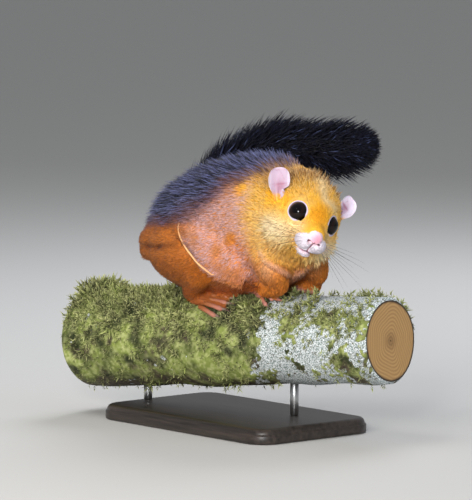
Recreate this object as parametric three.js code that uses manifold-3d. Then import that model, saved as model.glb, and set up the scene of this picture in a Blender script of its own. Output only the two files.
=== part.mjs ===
// A giant flying squirrel crouched on a cut length of mossy branch, its tail carried over its
// back, on a plain display stand. Millimetres, +Z up, +X the way the animal heads and +Y its
// left. The origin is the middle of the underside of the base.

import * as THREE from "three";
import { mergeVertices } from "three/addons/utils/BufferGeometryUtils.js";
import Module from "manifold-3d";

const wasm = await Module();
wasm.setup();

// Driving sizes
const gap = 0.34; // between a piece and its neighbour
const perchHeight = 124; // of the top of the branch under the chest
const branchHeading = THREE.MathUtils.degToRad(12); // from +X towards +Y
const branchRise = THREE.MathUtils.degToRad(4);
const branchBack = -150; // ends of the cut length, measured from below the belly
const branchFront = 205;
const branchRadius = 42;
const baseLength = 240;
const baseWidth = 140;
const baseThickness = 14;
const baseCorner = 22;
const rodRadius = 4;
const rodPlaces = [-80, 95]; // along the branch
const bodyHalfWidth = 55;
const backHeight = 131; // of the shoulders over the perch
const headCentre = new THREE.Vector3(114.1, -7.5, perchHeight + 76.4);
const headYaw = THREE.MathUtils.degToRad(-23.4);
const headPitch = THREE.MathUtils.degToRad(-5.9);
const headRoll = THREE.MathUtils.degToRad(-24.5);
const eyeRadius = 9.5;
const eyeForward = 8; // from the middle of the head
const eyeApart = 15.4; // from the middle plane of the head
const earWidth = 19;
const tailCoat = 29; // from the middle of the tail to the tips of its hair
const tailCoreShare = 0.46; // of the reach to the tips
const lockRows = 9;
const locksAround = 6;
const lockLength = 47;
const lockWidth = 26;
const lockMargin = 1.3 * gap; // by which a lock's neighbours stay clear of it

const colours = {
  orange: 0xd9822b,
  face: 0xf2b13c,
  black: 0x17161f,
  skin: 0xe9bcc4,
  eye: 0x0d0705,
  moss: 0x6f7a45,
  base: 0x2e2a28,
  rod: 0x9a9da0,
};

const up = new THREE.Vector3(0, 0, 1);
const left = new THREE.Vector3(0, 1, 0);

function point(x, y, z) {
  return new THREE.Vector3(x, y, z);
}

function seededRandom(seed) {
  let state = seed;
  return () => {
    state = (state * 16807) % 2147483647;
    return (state - 1) / 2147483646;
  };
}

// A wave with no regular beat, between -1 and 1
function unevenWave(value, seed) {
  return (Math.sin(value + seed) + Math.sin(value * 1.73 + 2.1 * seed) + Math.sin(value * 0.61 + seed)) / 3;
}

// The closed surface over rings of points, whose first and last rings are single points
function surfaceOverRings(rings) {
  const positions = [];
  const starts = [];
  for (const ring of rings) {
    starts.push(positions.length / 3);
    for (const place of ring) {
      positions.push(place.x, place.y, place.z);
    }
  }
  const faces = [];
  for (let number = 0; number + 1 < rings.length; number += 1) {
    const here = rings[number].length;
    const next = rings[number + 1].length;
    const count = Math.max(here, next);
    for (let turn = 0; turn < count; turn += 1) {
      const a = starts[number] + (turn % here);
      const b = starts[number] + ((turn + 1) % here);
      const c = starts[number + 1] + ((turn + 1) % next);
      const d = starts[number + 1] + (turn % next);
      if (here > 1) {
        faces.push(a, b, next > 1 ? c : d);
      }
      if (next > 1) {
        faces.push(a, c, d);
      }
    }
  }
  const geometry = new THREE.BufferGeometry();
  geometry.setAttribute("position", new THREE.Float32BufferAttribute(positions, 3));
  geometry.setIndex(signedVolume(positions, faces) < 0 ? faces.reverse() : faces);
  return geometry;
}

function signedVolume(positions, faces) {
  const corner = (number) => point(...positions.slice(3 * number, 3 * number + 3));
  let volume = 0;
  for (let first = 0; first < faces.length; first += 3) {
    const [a, b, c] = [corner(faces[first]), corner(faces[first + 1]), corner(faces[first + 2])];
    volume += a.dot(b.cross(c)) / 6;
  }
  return volume;
}

// A smooth body through stations, from one pole to the other. A station gives the centre of its
// ring and how far the ring reaches to each side, up and down. Its ends are rounded.
function bodyThrough(stations, { steps = 3, rounds = 20, upright = up, boxy = 1 } = {}) {
  const last = stations.length - 1;
  const mirrored = ({ at, side, rise, drop }) => ({ at, side: -side, rise: -rise, drop: -drop });
  const all = [mirrored(stations[1]), ...stations, mirrored(stations[last - 1])];
  const middle = new THREE.CatmullRomCurve3(all.map((station) => station.at), false, "catmullrom", 0.5);
  const reaches = all.map((station) => point(station.side, station.rise, station.drop));
  const reach = new THREE.CatmullRomCurve3(reaches, false, "catmullrom", 0.5);
  const count = last * steps;
  const centres = [];
  const sizes = [];
  for (let number = 0; number <= count; number += 1) {
    const share = (1 + number / steps) / (last + 2);
    centres.push(middle.getPoint(share));
    sizes.push(reach.getPoint(share));
  }
  const rings = centres.map((centre, number) => {
    if (number === 0 || number === count) {
      return [centre];
    }
    const ahead = centres[number + 1].clone().sub(centres[number - 1]).normalize();
    const sideways = upright.clone().cross(ahead).normalize();
    const upwards = ahead.clone().cross(sideways);
    const ring = [];
    for (let turn = 0; turn < rounds; turn += 1) {
      const angle = (turn / rounds) * 2 * Math.PI;
      const across = Math.sign(Math.cos(angle)) * Math.abs(Math.cos(angle)) ** boxy * sizes[number].x;
      const height = Math.sign(Math.sin(angle)) * Math.abs(Math.sin(angle)) ** boxy;
      const lift = height * (height > 0 ? sizes[number].y : sizes[number].z);
      ring.push(centre.clone().addScaledVector(sideways, across).addScaledVector(upwards, lift));
    }
    return ring;
  });
  return surfaceOverRings(rings);
}

// A round body along a path, from a list of points and the radius at each
function limb(path, radii, options) {
  const stations = path.map((at, number) => {
    const radius = radii[number];
    return { at, side: radius, rise: radius, drop: radius };
  });
  return bodyThrough(stations, options);
}

// The geometry with every vertex moved outwards along its normal
function grown(geometry, distance) {
  const copy = closedMesh(geometry);
  copy.computeVertexNormals();
  const places = copy.getAttribute("position");
  const normals = copy.getAttribute("normal");
  for (let number = 0; number < places.count; number += 1) {
    places.setXYZ(
      number,
      places.getX(number) + normals.getX(number) * distance,
      places.getY(number) + normals.getY(number) * distance,
      places.getZ(number) + normals.getZ(number) * distance,
    );
  }
  copy.deleteAttribute("normal");
  return copy;
}

function closedMesh(geometry) {
  const bare = geometry.clone();
  bare.deleteAttribute("normal");
  bare.deleteAttribute("uv");
  return mergeVertices(bare, 1e-4);
}

function solidOf(geometry) {
  const merged = closedMesh(geometry);
  const vertProperties = new Float32Array(merged.getAttribute("position").array);
  const triVerts = new Uint32Array(merged.index.array);
  return new wasm.Manifold(new wasm.Mesh({ numProp: 3, vertProperties, triVerts }));
}

function united(geometries) {
  return geometries.map(solidOf).reduce((whole, next) => whole.add(next));
}

// The largest closed surface of a solid
function largest(solid) {
  const pieces = solid.decompose();
  return pieces.reduce((best, next) => (next.volume() > best.volume() ? next : best));
}

function geometryOf(solid) {
  const mesh = solid.getMesh();
  const geometry = new THREE.BufferGeometry();
  geometry.setAttribute("position", new THREE.BufferAttribute(new Float32Array(mesh.vertProperties), 3));
  geometry.setIndex(new THREE.BufferAttribute(new Uint32Array(mesh.triVerts), 1));
  return geometry;
}

// The branch: a cut length on a rising line, round with slow lumps of moss
const branchAhead = point(
  Math.cos(branchHeading) * Math.cos(branchRise),
  Math.sin(branchHeading) * Math.cos(branchRise),
  Math.sin(branchRise),
);
const branchLeft = point(-Math.sin(branchHeading), Math.cos(branchHeading), 0);
const branchUp = branchAhead.clone().cross(branchLeft);
const chestPlace = 60; // along the branch, below the chest

function branchRadiusAt(along, around) {
  const taper = branchRadius - 0.018 * (along - chestPlace);
  const lumps = 1.6 * unevenWave(along / 17 + 1.5 * Math.sin(around), 1) + 1.4 * unevenWave(2 * around, 2);
  return taper + lumps * (1 - 0.6 * Math.max(0, Math.cos(around)));
}

// A point over the branch: around is the angle from its top towards the animal's left
function overBranch(along, around, height) {
  const axis = point(-30, 0, perchHeight - branchRadius - chestPlace * Math.sin(branchRise));
  const reach = branchRadiusAt(along, around) + height;
  return axis
    .addScaledVector(branchAhead, along)
    .addScaledVector(branchUp, reach * Math.cos(around))
    .addScaledVector(branchLeft, reach * Math.sin(around));
}

function branchGeometry() {
  const steps = 19;
  const rounds = 18;
  const rings = [[overBranch(branchBack, 0, -branchRadiusAt(branchBack, 0))]];
  for (let number = 0; number <= steps; number += 1) {
    const along = THREE.MathUtils.lerp(branchBack, branchFront, number / steps);
    const ring = [];
    for (let turn = 0; turn < rounds; turn += 1) {
      ring.push(overBranch(along, -(turn / rounds) * 2 * Math.PI, 0));
    }
    rings.push(ring);
  }
  rings.push([overBranch(branchFront, 0, -branchRadiusAt(branchFront, 0))]);
  return surfaceOverRings(rings);
}

// The stand: a flat base with rounded corners, and two short rods up to the branch
function baseGeometry() {
  const bevel = 2;
  const halfLength = baseLength / 2 - bevel;
  const halfWidth = baseWidth / 2 - bevel;
  const outline = new THREE.Shape();
  outline.absarc(halfLength - baseCorner, halfWidth - baseCorner, baseCorner, 0, Math.PI / 2);
  outline.absarc(-halfLength + baseCorner, halfWidth - baseCorner, baseCorner, Math.PI / 2, Math.PI);
  outline.absarc(-halfLength + baseCorner, -halfWidth + baseCorner, baseCorner, Math.PI, 1.5 * Math.PI);
  outline.absarc(halfLength - baseCorner, -halfWidth + baseCorner, baseCorner, 1.5 * Math.PI, 2 * Math.PI);
  const plate = new THREE.ExtrudeGeometry(outline, {
    depth: baseThickness - 2 * bevel,
    bevelThickness: bevel,
    bevelSize: bevel,
    bevelSegments: 1,
    curveSegments: 4,
  });
  plate.translate(0, 0, bevel);
  return plate;
}

function rodGeometry(along) {
  const foot = overBranch(along, 0, -branchRadiusAt(along, 0));
  const bottom = baseThickness + gap;
  const height = foot.z - 10 - bottom;
  const rod = new THREE.CylinderGeometry(rodRadius, rodRadius, height, 16);
  rod.rotateX(Math.PI / 2);
  rod.translate(foot.x, foot.y, bottom + height / 2);
  return rod;
}

// The trunk of the body, from the rump to the chest. Heights are over the perch.
function ringAt(along, top, bottom, half, sideways = 0) {
  const height = perchHeight + (top + bottom) / 2;
  const reach = (top - bottom) / 2;
  return { at: point(along, sideways, height), side: half, rise: reach, drop: reach };
}

function torsoGeometry() {
  return bodyThrough(
    [
      ringAt(-112, 52, 52, 0),
      ringAt(-105, 65, 28, 18),
      ringAt(-89, 80, 8, 0.56 * bodyHalfWidth),
      ringAt(-67, 94, -2, 0.8 * bodyHalfWidth),
      ringAt(-42, 108, -4, bodyHalfWidth),
      ringAt(-12, 121, -4, bodyHalfWidth),
      ringAt(18, 128, 0, 0.93 * bodyHalfWidth, 1),
      ringAt(44, backHeight, 6, 0.86 * bodyHalfWidth, 3),
      ringAt(66, 124, 0, 0.78 * bodyHalfWidth, 6),
      ringAt(84, 98, 6, 0.6 * bodyHalfWidth, 9),
      ringAt(96, 48, 48, 0, 10),
    ],
    { steps: 2, rounds: 24, boxy: 0.92 },
  );
}

function neckGeometry() {
  return bodyThrough(
    [
      { at: point(20, 0, perchHeight + 88), side: 0, rise: 0, drop: 0 },
      { at: point(38, 1, perchHeight + 86), side: 36, rise: 36, drop: 38 },
      { at: point(64, 3, perchHeight + 85), side: 38, rise: 41, drop: 43 },
      { at: point(87, -2, perchHeight + 79), side: 30, rise: 31, drop: 38 },
      { at: point(110, -4, perchHeight + 75), side: 0, rise: 0, drop: 0 },
    ],
    { steps: 2, rounds: 22 },
  );
}

// The head in its own frame: +X to the nose, +Y left, +Z the crown, from midway between the eyes
const headPose = new THREE.Matrix4().makeTranslation(headCentre.x, headCentre.y, headCentre.z);
headPose.multiply(new THREE.Matrix4().makeRotationZ(headYaw));
headPose.multiply(new THREE.Matrix4().makeRotationY(-headPitch));
headPose.multiply(new THREE.Matrix4().makeRotationX(headRoll));

// The forms that the head is blended from: centre, reach along each axis, and how softly each
// melts into the ones before it. A form off the middle plane has its twin on the other side.
const headForms = [
  { at: point(-22, 0, 3), reach: point(34, 36, 36), melt: 1 },
  { at: point(-14, 0, -14), reach: point(25, 25, 18), melt: 6 },
  { at: point(2, 0, 4), reach: point(19.5, 22, 19), melt: 8 },
  { at: point(-7, 17, -15), reach: point(20, 18, 18), melt: 7 },
  { at: point(5.6, 13.1, 3), reach: point(10.6, 10.6, 10.6), melt: 4 },
  { at: point(18, 0, -9), reach: point(17.5, 12.6, 12.6), melt: 6 },
  { at: point(19.5, 0, -23.8), reach: point(10, 8.2, 6), melt: 3 },
  { at: point(25, 6.8, -15.6), reach: point(10.2, 8.4, 8.2), melt: 2.5 },
  { at: point(33.2, 0, -9.8), reach: point(5.9, 7, 6.4), melt: 1.2 },
];

// How far a point lies outside an ellipsoid, near its surface
function outside(place, { at, reach }, side) {
  const across = place.clone().sub(point(at.x, at.y * side, at.z)).divide(reach);
  const steep = across.clone().divide(reach);
  const size = across.length();
  return (size * (size - 1)) / Math.max(steep.length(), 1e-6);
}

function outsideHead(place) {
  let nearest = 1e3;
  for (const form of headForms) {
    for (const side of form.at.y === 0 ? [1] : [-1, 1]) {
      const distance = outside(place, form, side);
      const share = Math.max(form.melt - Math.abs(nearest - distance), 0) / form.melt;
      nearest = Math.min(nearest, distance) - (share * share * form.melt) / 4;
    }
  }
  return nearest;
}

// Where a ray from inside the head comes out of it
const insideHead = point(-4, 0, -6);

function onHead(ray) {
  let inner = 0;
  let outer = 70;
  for (let step = 0; step < 18; step += 1) {
    const middle = (inner + outer) / 2;
    if (outsideHead(insideHead.clone().addScaledVector(ray, middle)) < 0) {
      inner = middle;
    } else {
      outer = middle;
    }
  }
  return insideHead.clone().addScaledVector(ray, inner);
}

// The skin of the head. Its rings stand round the line to the nose, and are close together there.
function skullGeometry() {
  const toNose = new THREE.Quaternion().setFromUnitVectors(point(1, 0, 0), point(1, 0, -0.07).normalize());
  const rings = 22;
  const rounds = 26;
  const all = [];
  for (let ring = 0; ring <= rings; ring += 1) {
    const away = Math.PI * (ring / rings) ** 1.35;
    const count = ring === 0 || ring === rings ? 1 : rounds;
    const round = [];
    for (let number = 0; number < count; number += 1) {
      const turn = (number / rounds) * 2 * Math.PI - 0.16;
      const ray = point(Math.cos(away), Math.sin(away) * Math.cos(turn), Math.sin(away) * Math.sin(turn));
      round.push(onHead(ray.applyQuaternion(toNose)));
    }
    all.push(round);
  }
  return surfaceOverRings(all);
}

// The way an eye looks, in the head's frame, for a side of 1 on the left and -1 on the right
function eyeAxis(side) {
  return point(0.69, 0.67 * side, 0.28).normalize();
}

function eyeCentre(side) {
  return point(eyeForward, eyeApart * side, 4);
}

function eyeGeometry(side) {
  const centre = eyeCentre(side);
  const ball = new THREE.SphereGeometry(eyeRadius, 14, 9);
  ball.translate(centre.x, centre.y, centre.z);
  return ball;
}

// The lids: a thin rounded rim about the eye, drawn to a corner at the front and back
function lidGeometry(side) {
  const axis = eyeAxis(side);
  const forward = point(1, 0, -0.25).addScaledVector(axis, -point(1, 0, -0.25).dot(axis)).normalize();
  const upward = axis.clone().cross(forward).normalize();
  const rounds = 16;
  const profile = [
    [9.4, 1],
    [9.8, 4],
    [9.3, 5.3],
    [8.4, 5.9],
    [7.9, 5.8],
  ];
  const rings = [[eyeCentre(side).addScaledVector(axis, -2)]];
  for (const [radius, depth] of profile) {
    const ring = [];
    for (let turn = 0; turn < rounds; turn += 1) {
      const angle = (turn / rounds) * 2 * Math.PI;
      const corner = 1 + 0.1 * Math.cos(angle) ** 8 - 0.03 * Math.sin(angle) ** 2;
      ring.push(
        eyeCentre(side)
          .addScaledVector(axis, depth)
          .addScaledVector(forward, radius * corner * Math.cos(angle))
          .addScaledVector(upward, radius * corner * Math.sin(angle)),
      );
    }
    rings.push(ring);
  }
  rings.push([eyeCentre(side).addScaledVector(axis, 5.8)]);
  return surfaceOverRings(rings);
}

// The nostrils, the seam below the nose and the line of the mouth, each a fine groove that runs
// along the skin through the places given
function faceGrooves() {
  const groove = (places, radii, upright = up) => {
    const path = places.map((place) => onHead(place.sub(insideHead).normalize()));
    return limb(path, [0, ...radii, 0], { steps: 2, rounds: 6, upright });
  };
  const grooves = [];
  for (const side of [-1, 1]) {
    const nostril = [[38.4, 1.2, -15.6], [38.6, 2.8, -14.6], [37.6, 4.6, -13], [35.8, 6.2, -12.4]];
    grooves.push(groove(nostril.map(([x, y, z]) => point(x, y * side, z)), [1, 1.1]));
  }
  const seam = [point(38, 0, -14.5), point(36.5, 0, -18), point(33.5, 0, -22), point(30.5, 0, -25)];
  grooves.push(groove(seam, [0.8, 0.8], left));
  const mouth = [[14, -13.5, -25], [18.5, -12, -26], [24, -8.8, -26.6], [28.5, -4.5, -25.9], [30.2, 0, -24.8]];
  const mirrored = mouth.slice(0, 4).reverse().map(([x, y, z]) => [x, -y, z]);
  const radii = [0.8, 1, 1.1, 1.2, 1.1, 1, 0.8];
  grooves.push(groove([...mouth, ...mirrored].map(([x, y, z]) => point(x, y, z)), radii));
  return grooves;
}

// An ear: a thin cupped leaf that stands on the head. Its length runs from root to tip, its hollow
// looks the way of open, and its edges turn forward. The right ear stands up and the left one is
// turned out.
const ears = {
  right: { root: point(-13.3, -29.6, 4.7), along: point(-0.25, -0.33, 0.9), open: point(0.9, -0.42, 0.1), length: 31 },
  left: { root: point(-14, 26.8, 10.3), along: point(-0.22, 0.42, 0.87), open: point(0.98, 0.05, 0.1), length: 27 },
};

function earGeometry({ root, along: lengthways, open, length }) {
  const along = lengthways.clone().normalize();
  const front = open.clone().addScaledVector(along, -open.dot(along)).normalize();
  const across = along.clone().cross(front);
  const steps = 9;
  const rounds = 16;
  const widest = 0.66;
  const cupAngle = 1.15;
  const rings = [];
  for (let number = 0; number <= steps; number += 1) {
    const share = (1 - Math.cos((number / steps) * Math.PI)) / 2;
    const swell = 0.58 + 0.42 * THREE.MathUtils.smoothstep(share, 0, widest);
    const rounding = share > widest ? Math.sqrt(1 - ((share - widest) / (1 - widest)) ** 2) : 1;
    const half = number === 0 || number === steps ? 0 : (earWidth / 2) * swell * rounding;
    const thickness = 0.55 + 1.2 * (1 - share) ** 2;
    const lean = -2.5 * share ** 2;
    const middle = root.clone().addScaledVector(along, length * share).addScaledVector(front, lean);
    if (half === 0) {
      rings.push([middle]);
      continue;
    }
    const ring = [];
    for (let turn = 0; turn < rounds; turn += 1) {
      const angle = (turn / rounds) * 2 * Math.PI;
      const bend = cupAngle * (1 - 0.55 * share) * Math.cos(angle);
      const radius = half / Math.sin(cupAngle * (1 - 0.55 * share));
      const reach = radius + thickness * Math.sin(angle);
      ring.push(
        middle
          .clone()
          .addScaledVector(across, reach * Math.sin(bend))
          .addScaledVector(front, radius - reach * Math.cos(bend)),
      );
    }
    rings.push(ring);
  }
  return surfaceOverRings(rings);
}

// Arms and legs
const shoulders = { left: point(64, 35, perchHeight + 47), right: point(62, -24, perchHeight + 50) };
const elbows = { left: point(63, 45, perchHeight + 14), right: point(79, -13, perchHeight + 18) };
const wrists = { left: overBranch(78, 0.36, 9), right: overBranch(72, -0.3, 8) };
const hips = { left: point(-54, 34, perchHeight + 46), right: point(-54, -34, perchHeight + 46) };
const knees = { left: point(2, 44, perchHeight + 24), right: point(2, -44, perchHeight + 24) };
const heels = { left: overBranch(-2, 0.62, 9), right: overBranch(-2, -0.62, 9) };

function between(a, b, share) {
  return a.clone().lerp(b, share);
}

// One length of an arm or leg, which reaches a little past the joint at each of its ends
function limbLength(from, to, radii, options) {
  const ahead = to.clone().sub(from).normalize();
  const start = from.clone().addScaledVector(ahead, -0.5 * radii[0]);
  const end = to.clone().addScaledVector(ahead, 0.5 * radii[2]);
  const path = [0, 0.16, 0.5, 0.84, 1].map((share) => between(start, end, share));
  return limb(path, [0, ...radii, 0], { steps: 2, rounds: 12, ...options });
}

function upperArm(name) {
  return limbLength(shoulders[name], elbows[name], [14, 16, 12.5], { upright: left });
}

function forearm(name) {
  return limbLength(elbows[name], wrists[name], [12, 11, 7.5]);
}

function thigh(name) {
  return limbLength(hips[name], knees[name], [24, 28, 16], { rounds: 16 });
}

function shank(name) {
  return limbLength(knees[name], heels[name], [15, 12.5, 8]);
}

// A hand or foot laid over the branch: a flat palm, with toes that bend down to their claws
function paw({ wrist, along, around, length, width, toes, spread, turn }) {
  const palmEnd = along + 0.5 * length;
  const palm = bodyThrough(
    [
      { at: wrist, side: 0, rise: 0, drop: 0 },
      { at: overBranch(along, around, 6.5), side: 0.42 * width, rise: 5.5, drop: 6 },
      { at: overBranch(along + 0.3 * length, around + 0.3 * turn, 5), side: 0.5 * width, rise: 4.6, drop: 5 },
      { at: overBranch(palmEnd, around + 0.5 * turn, 4.5), side: 0, rise: 0, drop: 0 },
    ],
    { steps: 2, rounds: 8 },
  );
  const pieces = [palm];
  for (let number = 0; number < toes; number += 1) {
    const fan = toes === 1 ? 0 : number / (toes - 1) - 0.5;
    const start = around + 0.35 * turn + (fan * 0.72 * width) / branchRadius;
    const finish = around + turn + (fan * spread) / branchRadius;
    const reach = length * (0.56 - 0.5 * fan * fan);
    const from = along + 0.26 * length;
    const step = (share, height) =>
      overBranch(from + reach * share, THREE.MathUtils.lerp(start, finish, share), height);
    const digit = [step(0, 4.5), step(0.35, 5.2), step(0.85, 3.8), step(1.03, 2)];
    pieces.push(limb(digit, [0, 2.9, 2.5, 0], { steps: 2, rounds: 5 }));
    const claw = [step(0.88, 3.4), step(1, 3.9), step(1.12, 3.2), step(1.24, 0.9)];
    pieces.push(limb(claw, [0, 1.4, 1, 0], { steps: 1, rounds: 4 }));
  }
  return pieces;
}

function hand(name, side) {
  return paw({
    wrist: wrists[name],
    along: name === "left" ? 80 : 70,
    around: name === "left" ? 0.36 : -0.33,
    length: 34,
    width: 17,
    toes: 4,
    spread: 24,
    turn: 0.1 * side,
  });
}

function foot(name, side) {
  return paw({
    wrist: heels[name],
    along: 2,
    around: 0.62 * side,
    length: 52,
    width: 19,
    toes: 5,
    spread: 27,
    turn: 0.06 * side,
  });
}

// A fold of the gliding skin: a sheet with thick fur on both faces, hung from one curve to a free
// edge along another
function foldOfSkin(hangPoints, edgePoints, side, { thick, thin, bulge, ripple }) {
  const hang = new THREE.CatmullRomCurve3(hangPoints);
  const edge = new THREE.CatmullRomCurve3(edgePoints);
  const outward = point(0, side, 0.2).normalize();
  const steps = 12;
  const rounds = 10;
  const rings = [];
  for (let number = 0; number <= steps; number += 1) {
    const share = (1 - Math.cos((number / steps) * Math.PI)) / 2;
    const top = hang.getPoint(share);
    const bottom = edge.getPoint(share);
    if (number === 0 || number === steps) {
      rings.push([between(top, bottom, 0.5)]);
      continue;
    }
    const ending = Math.sin(share * Math.PI) ** 0.4;
    const ring = [];
    for (let turn = 0; turn < rounds; turn += 1) {
      const angle = (turn / rounds) * 2 * Math.PI;
      const down = (1 - Math.cos(angle)) / 2;
      const thickness = THREE.MathUtils.lerp(thick, thin, down) * Math.sin(angle) * ending;
      const fold = ripple * Math.sin(share * 15) * down;
      const offset = bulge * Math.sin(down * Math.PI) + fold + thickness;
      ring.push(between(top, bottom, down).addScaledVector(outward, offset));
    }
    rings.push(ring);
  }
  return surfaceOverRings(rings);
}

// Along the flank, from behind the knee to the wrist
function patagium(side) {
  const hang = [
    point(-34, 40 * side, perchHeight + 68),
    point(-4, 41 * side, perchHeight + 76),
    point(28, 37 * side, perchHeight + 72),
    point(52, 27 * side, perchHeight + 60),
  ];
  const edge = [
    point(-26, 50 * side, perchHeight + 54),
    point(6, 56 * side, perchHeight + 36),
    point(36, 50 * side, perchHeight + 14),
    point(52, 26 * side, perchHeight + 6),
  ];
  return foldOfSkin(hang, edge, side, { thick: 8, thin: 4, bulge: 7, ripple: 1.6 });
}

// Between the thigh and the root of the tail
function tailSkin(side) {
  const hang = [
    point(-104, 22 * side, perchHeight + 48),
    point(-78, 38 * side, perchHeight + 60),
    point(-44, 48 * side, perchHeight + 62),
  ];
  const edge = [
    point(-102, 25 * side, perchHeight + 30),
    point(-80, 42 * side, perchHeight + 26),
    point(-48, 54 * side, perchHeight + 30),
  ];
  return foldOfSkin(hang, edge, side, { thick: 9, thin: 5, bulge: 3, ripple: 0 });
}

// The tail: a plume from the rump that turns to the left and lies forward over the back
const tailPath = new THREE.CatmullRomCurve3([
  point(-100, 4, perchHeight + 48),
  point(-112, 26, perchHeight + 58),
  point(-102, 50, perchHeight + 84),
  point(-82, 64, perchHeight + 108),
  point(-42, 80, perchHeight + 128),
  point(10, 90, perchHeight + 132),
  point(52, 98, perchHeight + 135),
  point(78, 110, perchHeight + 139),
]);
const tailCuts = [0.3, 0.54, 0.78];

function tailRadius(share) {
  const root = 14;
  const swell = THREE.MathUtils.smoothstep(share, 0, 0.35);
  const tip = Math.sqrt(1 - (Math.max(0, share - 0.86) / 0.15) ** 2);
  return THREE.MathUtils.lerp(root, tailCoat, swell) * tip;
}

function tailCore() {
  const count = 18;
  const path = [];
  const radii = [];
  for (let number = 0; number <= count; number += 1) {
    const share = number / count;
    path.push(tailPath.getPointAt(share));
    radii.push(number === 0 || number === count ? 0 : tailCoreShare * tailRadius(share));
  }
  return limb(path, radii, { steps: 1, rounds: 10 });
}

// One lock of long hair: flat, tapered and bent over towards the tip of the tail. A margin makes
// the same lock larger on every side.
function tailLock({ share, around, length, width }, margin = 0) {
  const ahead = tailPath.getTangentAt(Math.min(share, 1));
  const sideways = up.clone().cross(ahead).normalize();
  const upwards = ahead.clone().cross(sideways);
  const outward = sideways.multiplyScalar(Math.cos(around)).addScaledVector(upwards, Math.sin(around));
  const bend = (forward, lift) => {
    const reached = Math.min(share + (forward * length) / tailPath.getLength(), 1);
    return tailPath.getPointAt(reached).addScaledVector(outward, lift * tailRadius(reached));
  };
  const flat = (at, half, thick) => {
    const rise = thick * width + margin;
    return { at, side: half * width + margin, rise, drop: rise };
  };
  const [root, low, middle, high, tip] = [[0, 0.15], [0.2, 0.5], [0.5, 0.8], [0.8, 0.93], [1, 1]].map(
    ([forward, lift]) => bend(forward, lift),
  );
  const past = (end, next) => end.clone().addScaledVector(end.clone().sub(next).normalize(), 3 * margin);
  return bodyThrough(
    [
      flat(past(root, low), 0, 0),
      flat(low, 0.42, 0.22),
      flat(middle, 0.5, 0.2),
      flat(high, 0.3, 0.12),
      flat(past(tip, high), 0, 0),
    ],
    { steps: 1, rounds: 4, upright: outward },
  );
}

function tailLocks(from, to) {
  const locks = [];
  const random = seededRandom(7);
  for (let row = 0; row < lockRows; row += 1) {
    for (let place = 0; place < locksAround; place += 1) {
      const share = 0.03 + (0.84 * (row + 0.4 * (random() - 0.5) + (place % 2) * 0.5)) / lockRows;
      const around = ((place + 0.5 * (row % 2) + 0.3 * (random() - 0.5)) / locksAround) * 2 * Math.PI;
      const length = lockLength * (0.85 + 0.3 * random()) * (share < 0.1 ? 0.6 : 1);
      const width = lockWidth * (0.85 + 0.3 * random()) * (share < 0.15 ? 0.7 : 1);
      if (share >= from && share < to) {
        locks.push({ share, around, length, width });
      }
    }
  }
  return locks;
}

// A block that fills all on one side of a plane through a point, and reaches past it by a little
function halfSpace([through, normal], side, reach) {
  const size = 600;
  const block = new THREE.BoxGeometry(size, size, size);
  block.translate(0, 0, size / 2 - reach);
  block.applyQuaternion(new THREE.Quaternion().setFromUnitVectors(up, normal.clone().multiplyScalar(side)));
  block.translate(through.x, through.y, through.z);
  return solidOf(block);
}

// Assembly. Each piece is cut clear of every piece before it.
const model = new THREE.Group();
const placed = [];

function material(colour, roughness = 0.9, metalness = 0) {
  return new THREE.MeshStandardMaterial({ color: colour, roughness, metalness });
}

function addMesh(name, solid, look) {
  const mesh = new THREE.Mesh(geometryOf(solid), look);
  mesh.name = name;
  model.add(mesh);
}

function clearOfPlaced(solid) {
  return placed.reduce((rest, cutter) => rest.subtract(cutter), solid);
}

function remember(geometries) {
  placed.push(united(geometries.map((geometry) => grown(geometry, gap))));
}

function addPiece(name, geometries, look) {
  addMesh(name, largest(clearOfPlaced(united(geometries))), look);
  remember(geometries);
}

const orangeCoat = material(colours.orange);
const faceCoat = material(colours.face);
const blackCoat = material(colours.black);
const bareSkin = material(colours.skin, 0.6);
const eyeShine = material(colours.eye, 0.1);
const sides = { right: -1, left: 1 };

addPiece("perch_branch", [branchGeometry()], material(colours.moss));
addPiece("stand_base", [baseGeometry()], material(colours.base, 0.5));
rodPlaces.forEach((along, number) => {
  addPiece(`stand_rod_${number + 1}`, [rodGeometry(along)], material(colours.rod, 0.3, 1));
});

const skull = skullGeometry();
const headParts = [skull, lidGeometry(-1), lidGeometry(1)];
const inRow = (geometry) => geometry.clone().applyMatrix4(headPose);
for (const [name, side] of Object.entries(sides)) {
  addPiece(`eye_${name}`, [inRow(eyeGeometry(side))], eyeShine);
}
const grooves = united(faceGrooves().map(inRow));
addMesh("head", largest(clearOfPlaced(united(headParts.map(inRow))).subtract(grooves)), faceCoat);
remember(headParts.map(inRow));
addPiece("ear_right", [inRow(earGeometry(ears.right))], bareSkin);
addPiece("ear_left", [inRow(earGeometry(ears.left))], bareSkin);

// The trunk and neck are one form, parted across the waist and behind the neck
const trunkParts = [torsoGeometry(), neckGeometry()];
const trunk = clearOfPlaced(united(trunkParts));
const waist = [point(-8, 0, perchHeight + 60), point(1, 0, 0)];
const nape = [point(58, 0, perchHeight + 86), point(0.8, 0.04, 0.6).normalize()];
const rump = trunk.subtract(halfSpace(waist, 1, gap / 2));
const chest = trunk.subtract(halfSpace(waist, -1, gap / 2)).subtract(halfSpace(nape, 1, gap / 2));
const neck = trunk.subtract(halfSpace(nape, -1, gap / 2));
addMesh("chest", largest(chest), orangeCoat);
addMesh("rump", largest(rump), blackCoat);
addMesh("neck", largest(neck), faceCoat);
remember(trunkParts);
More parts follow.
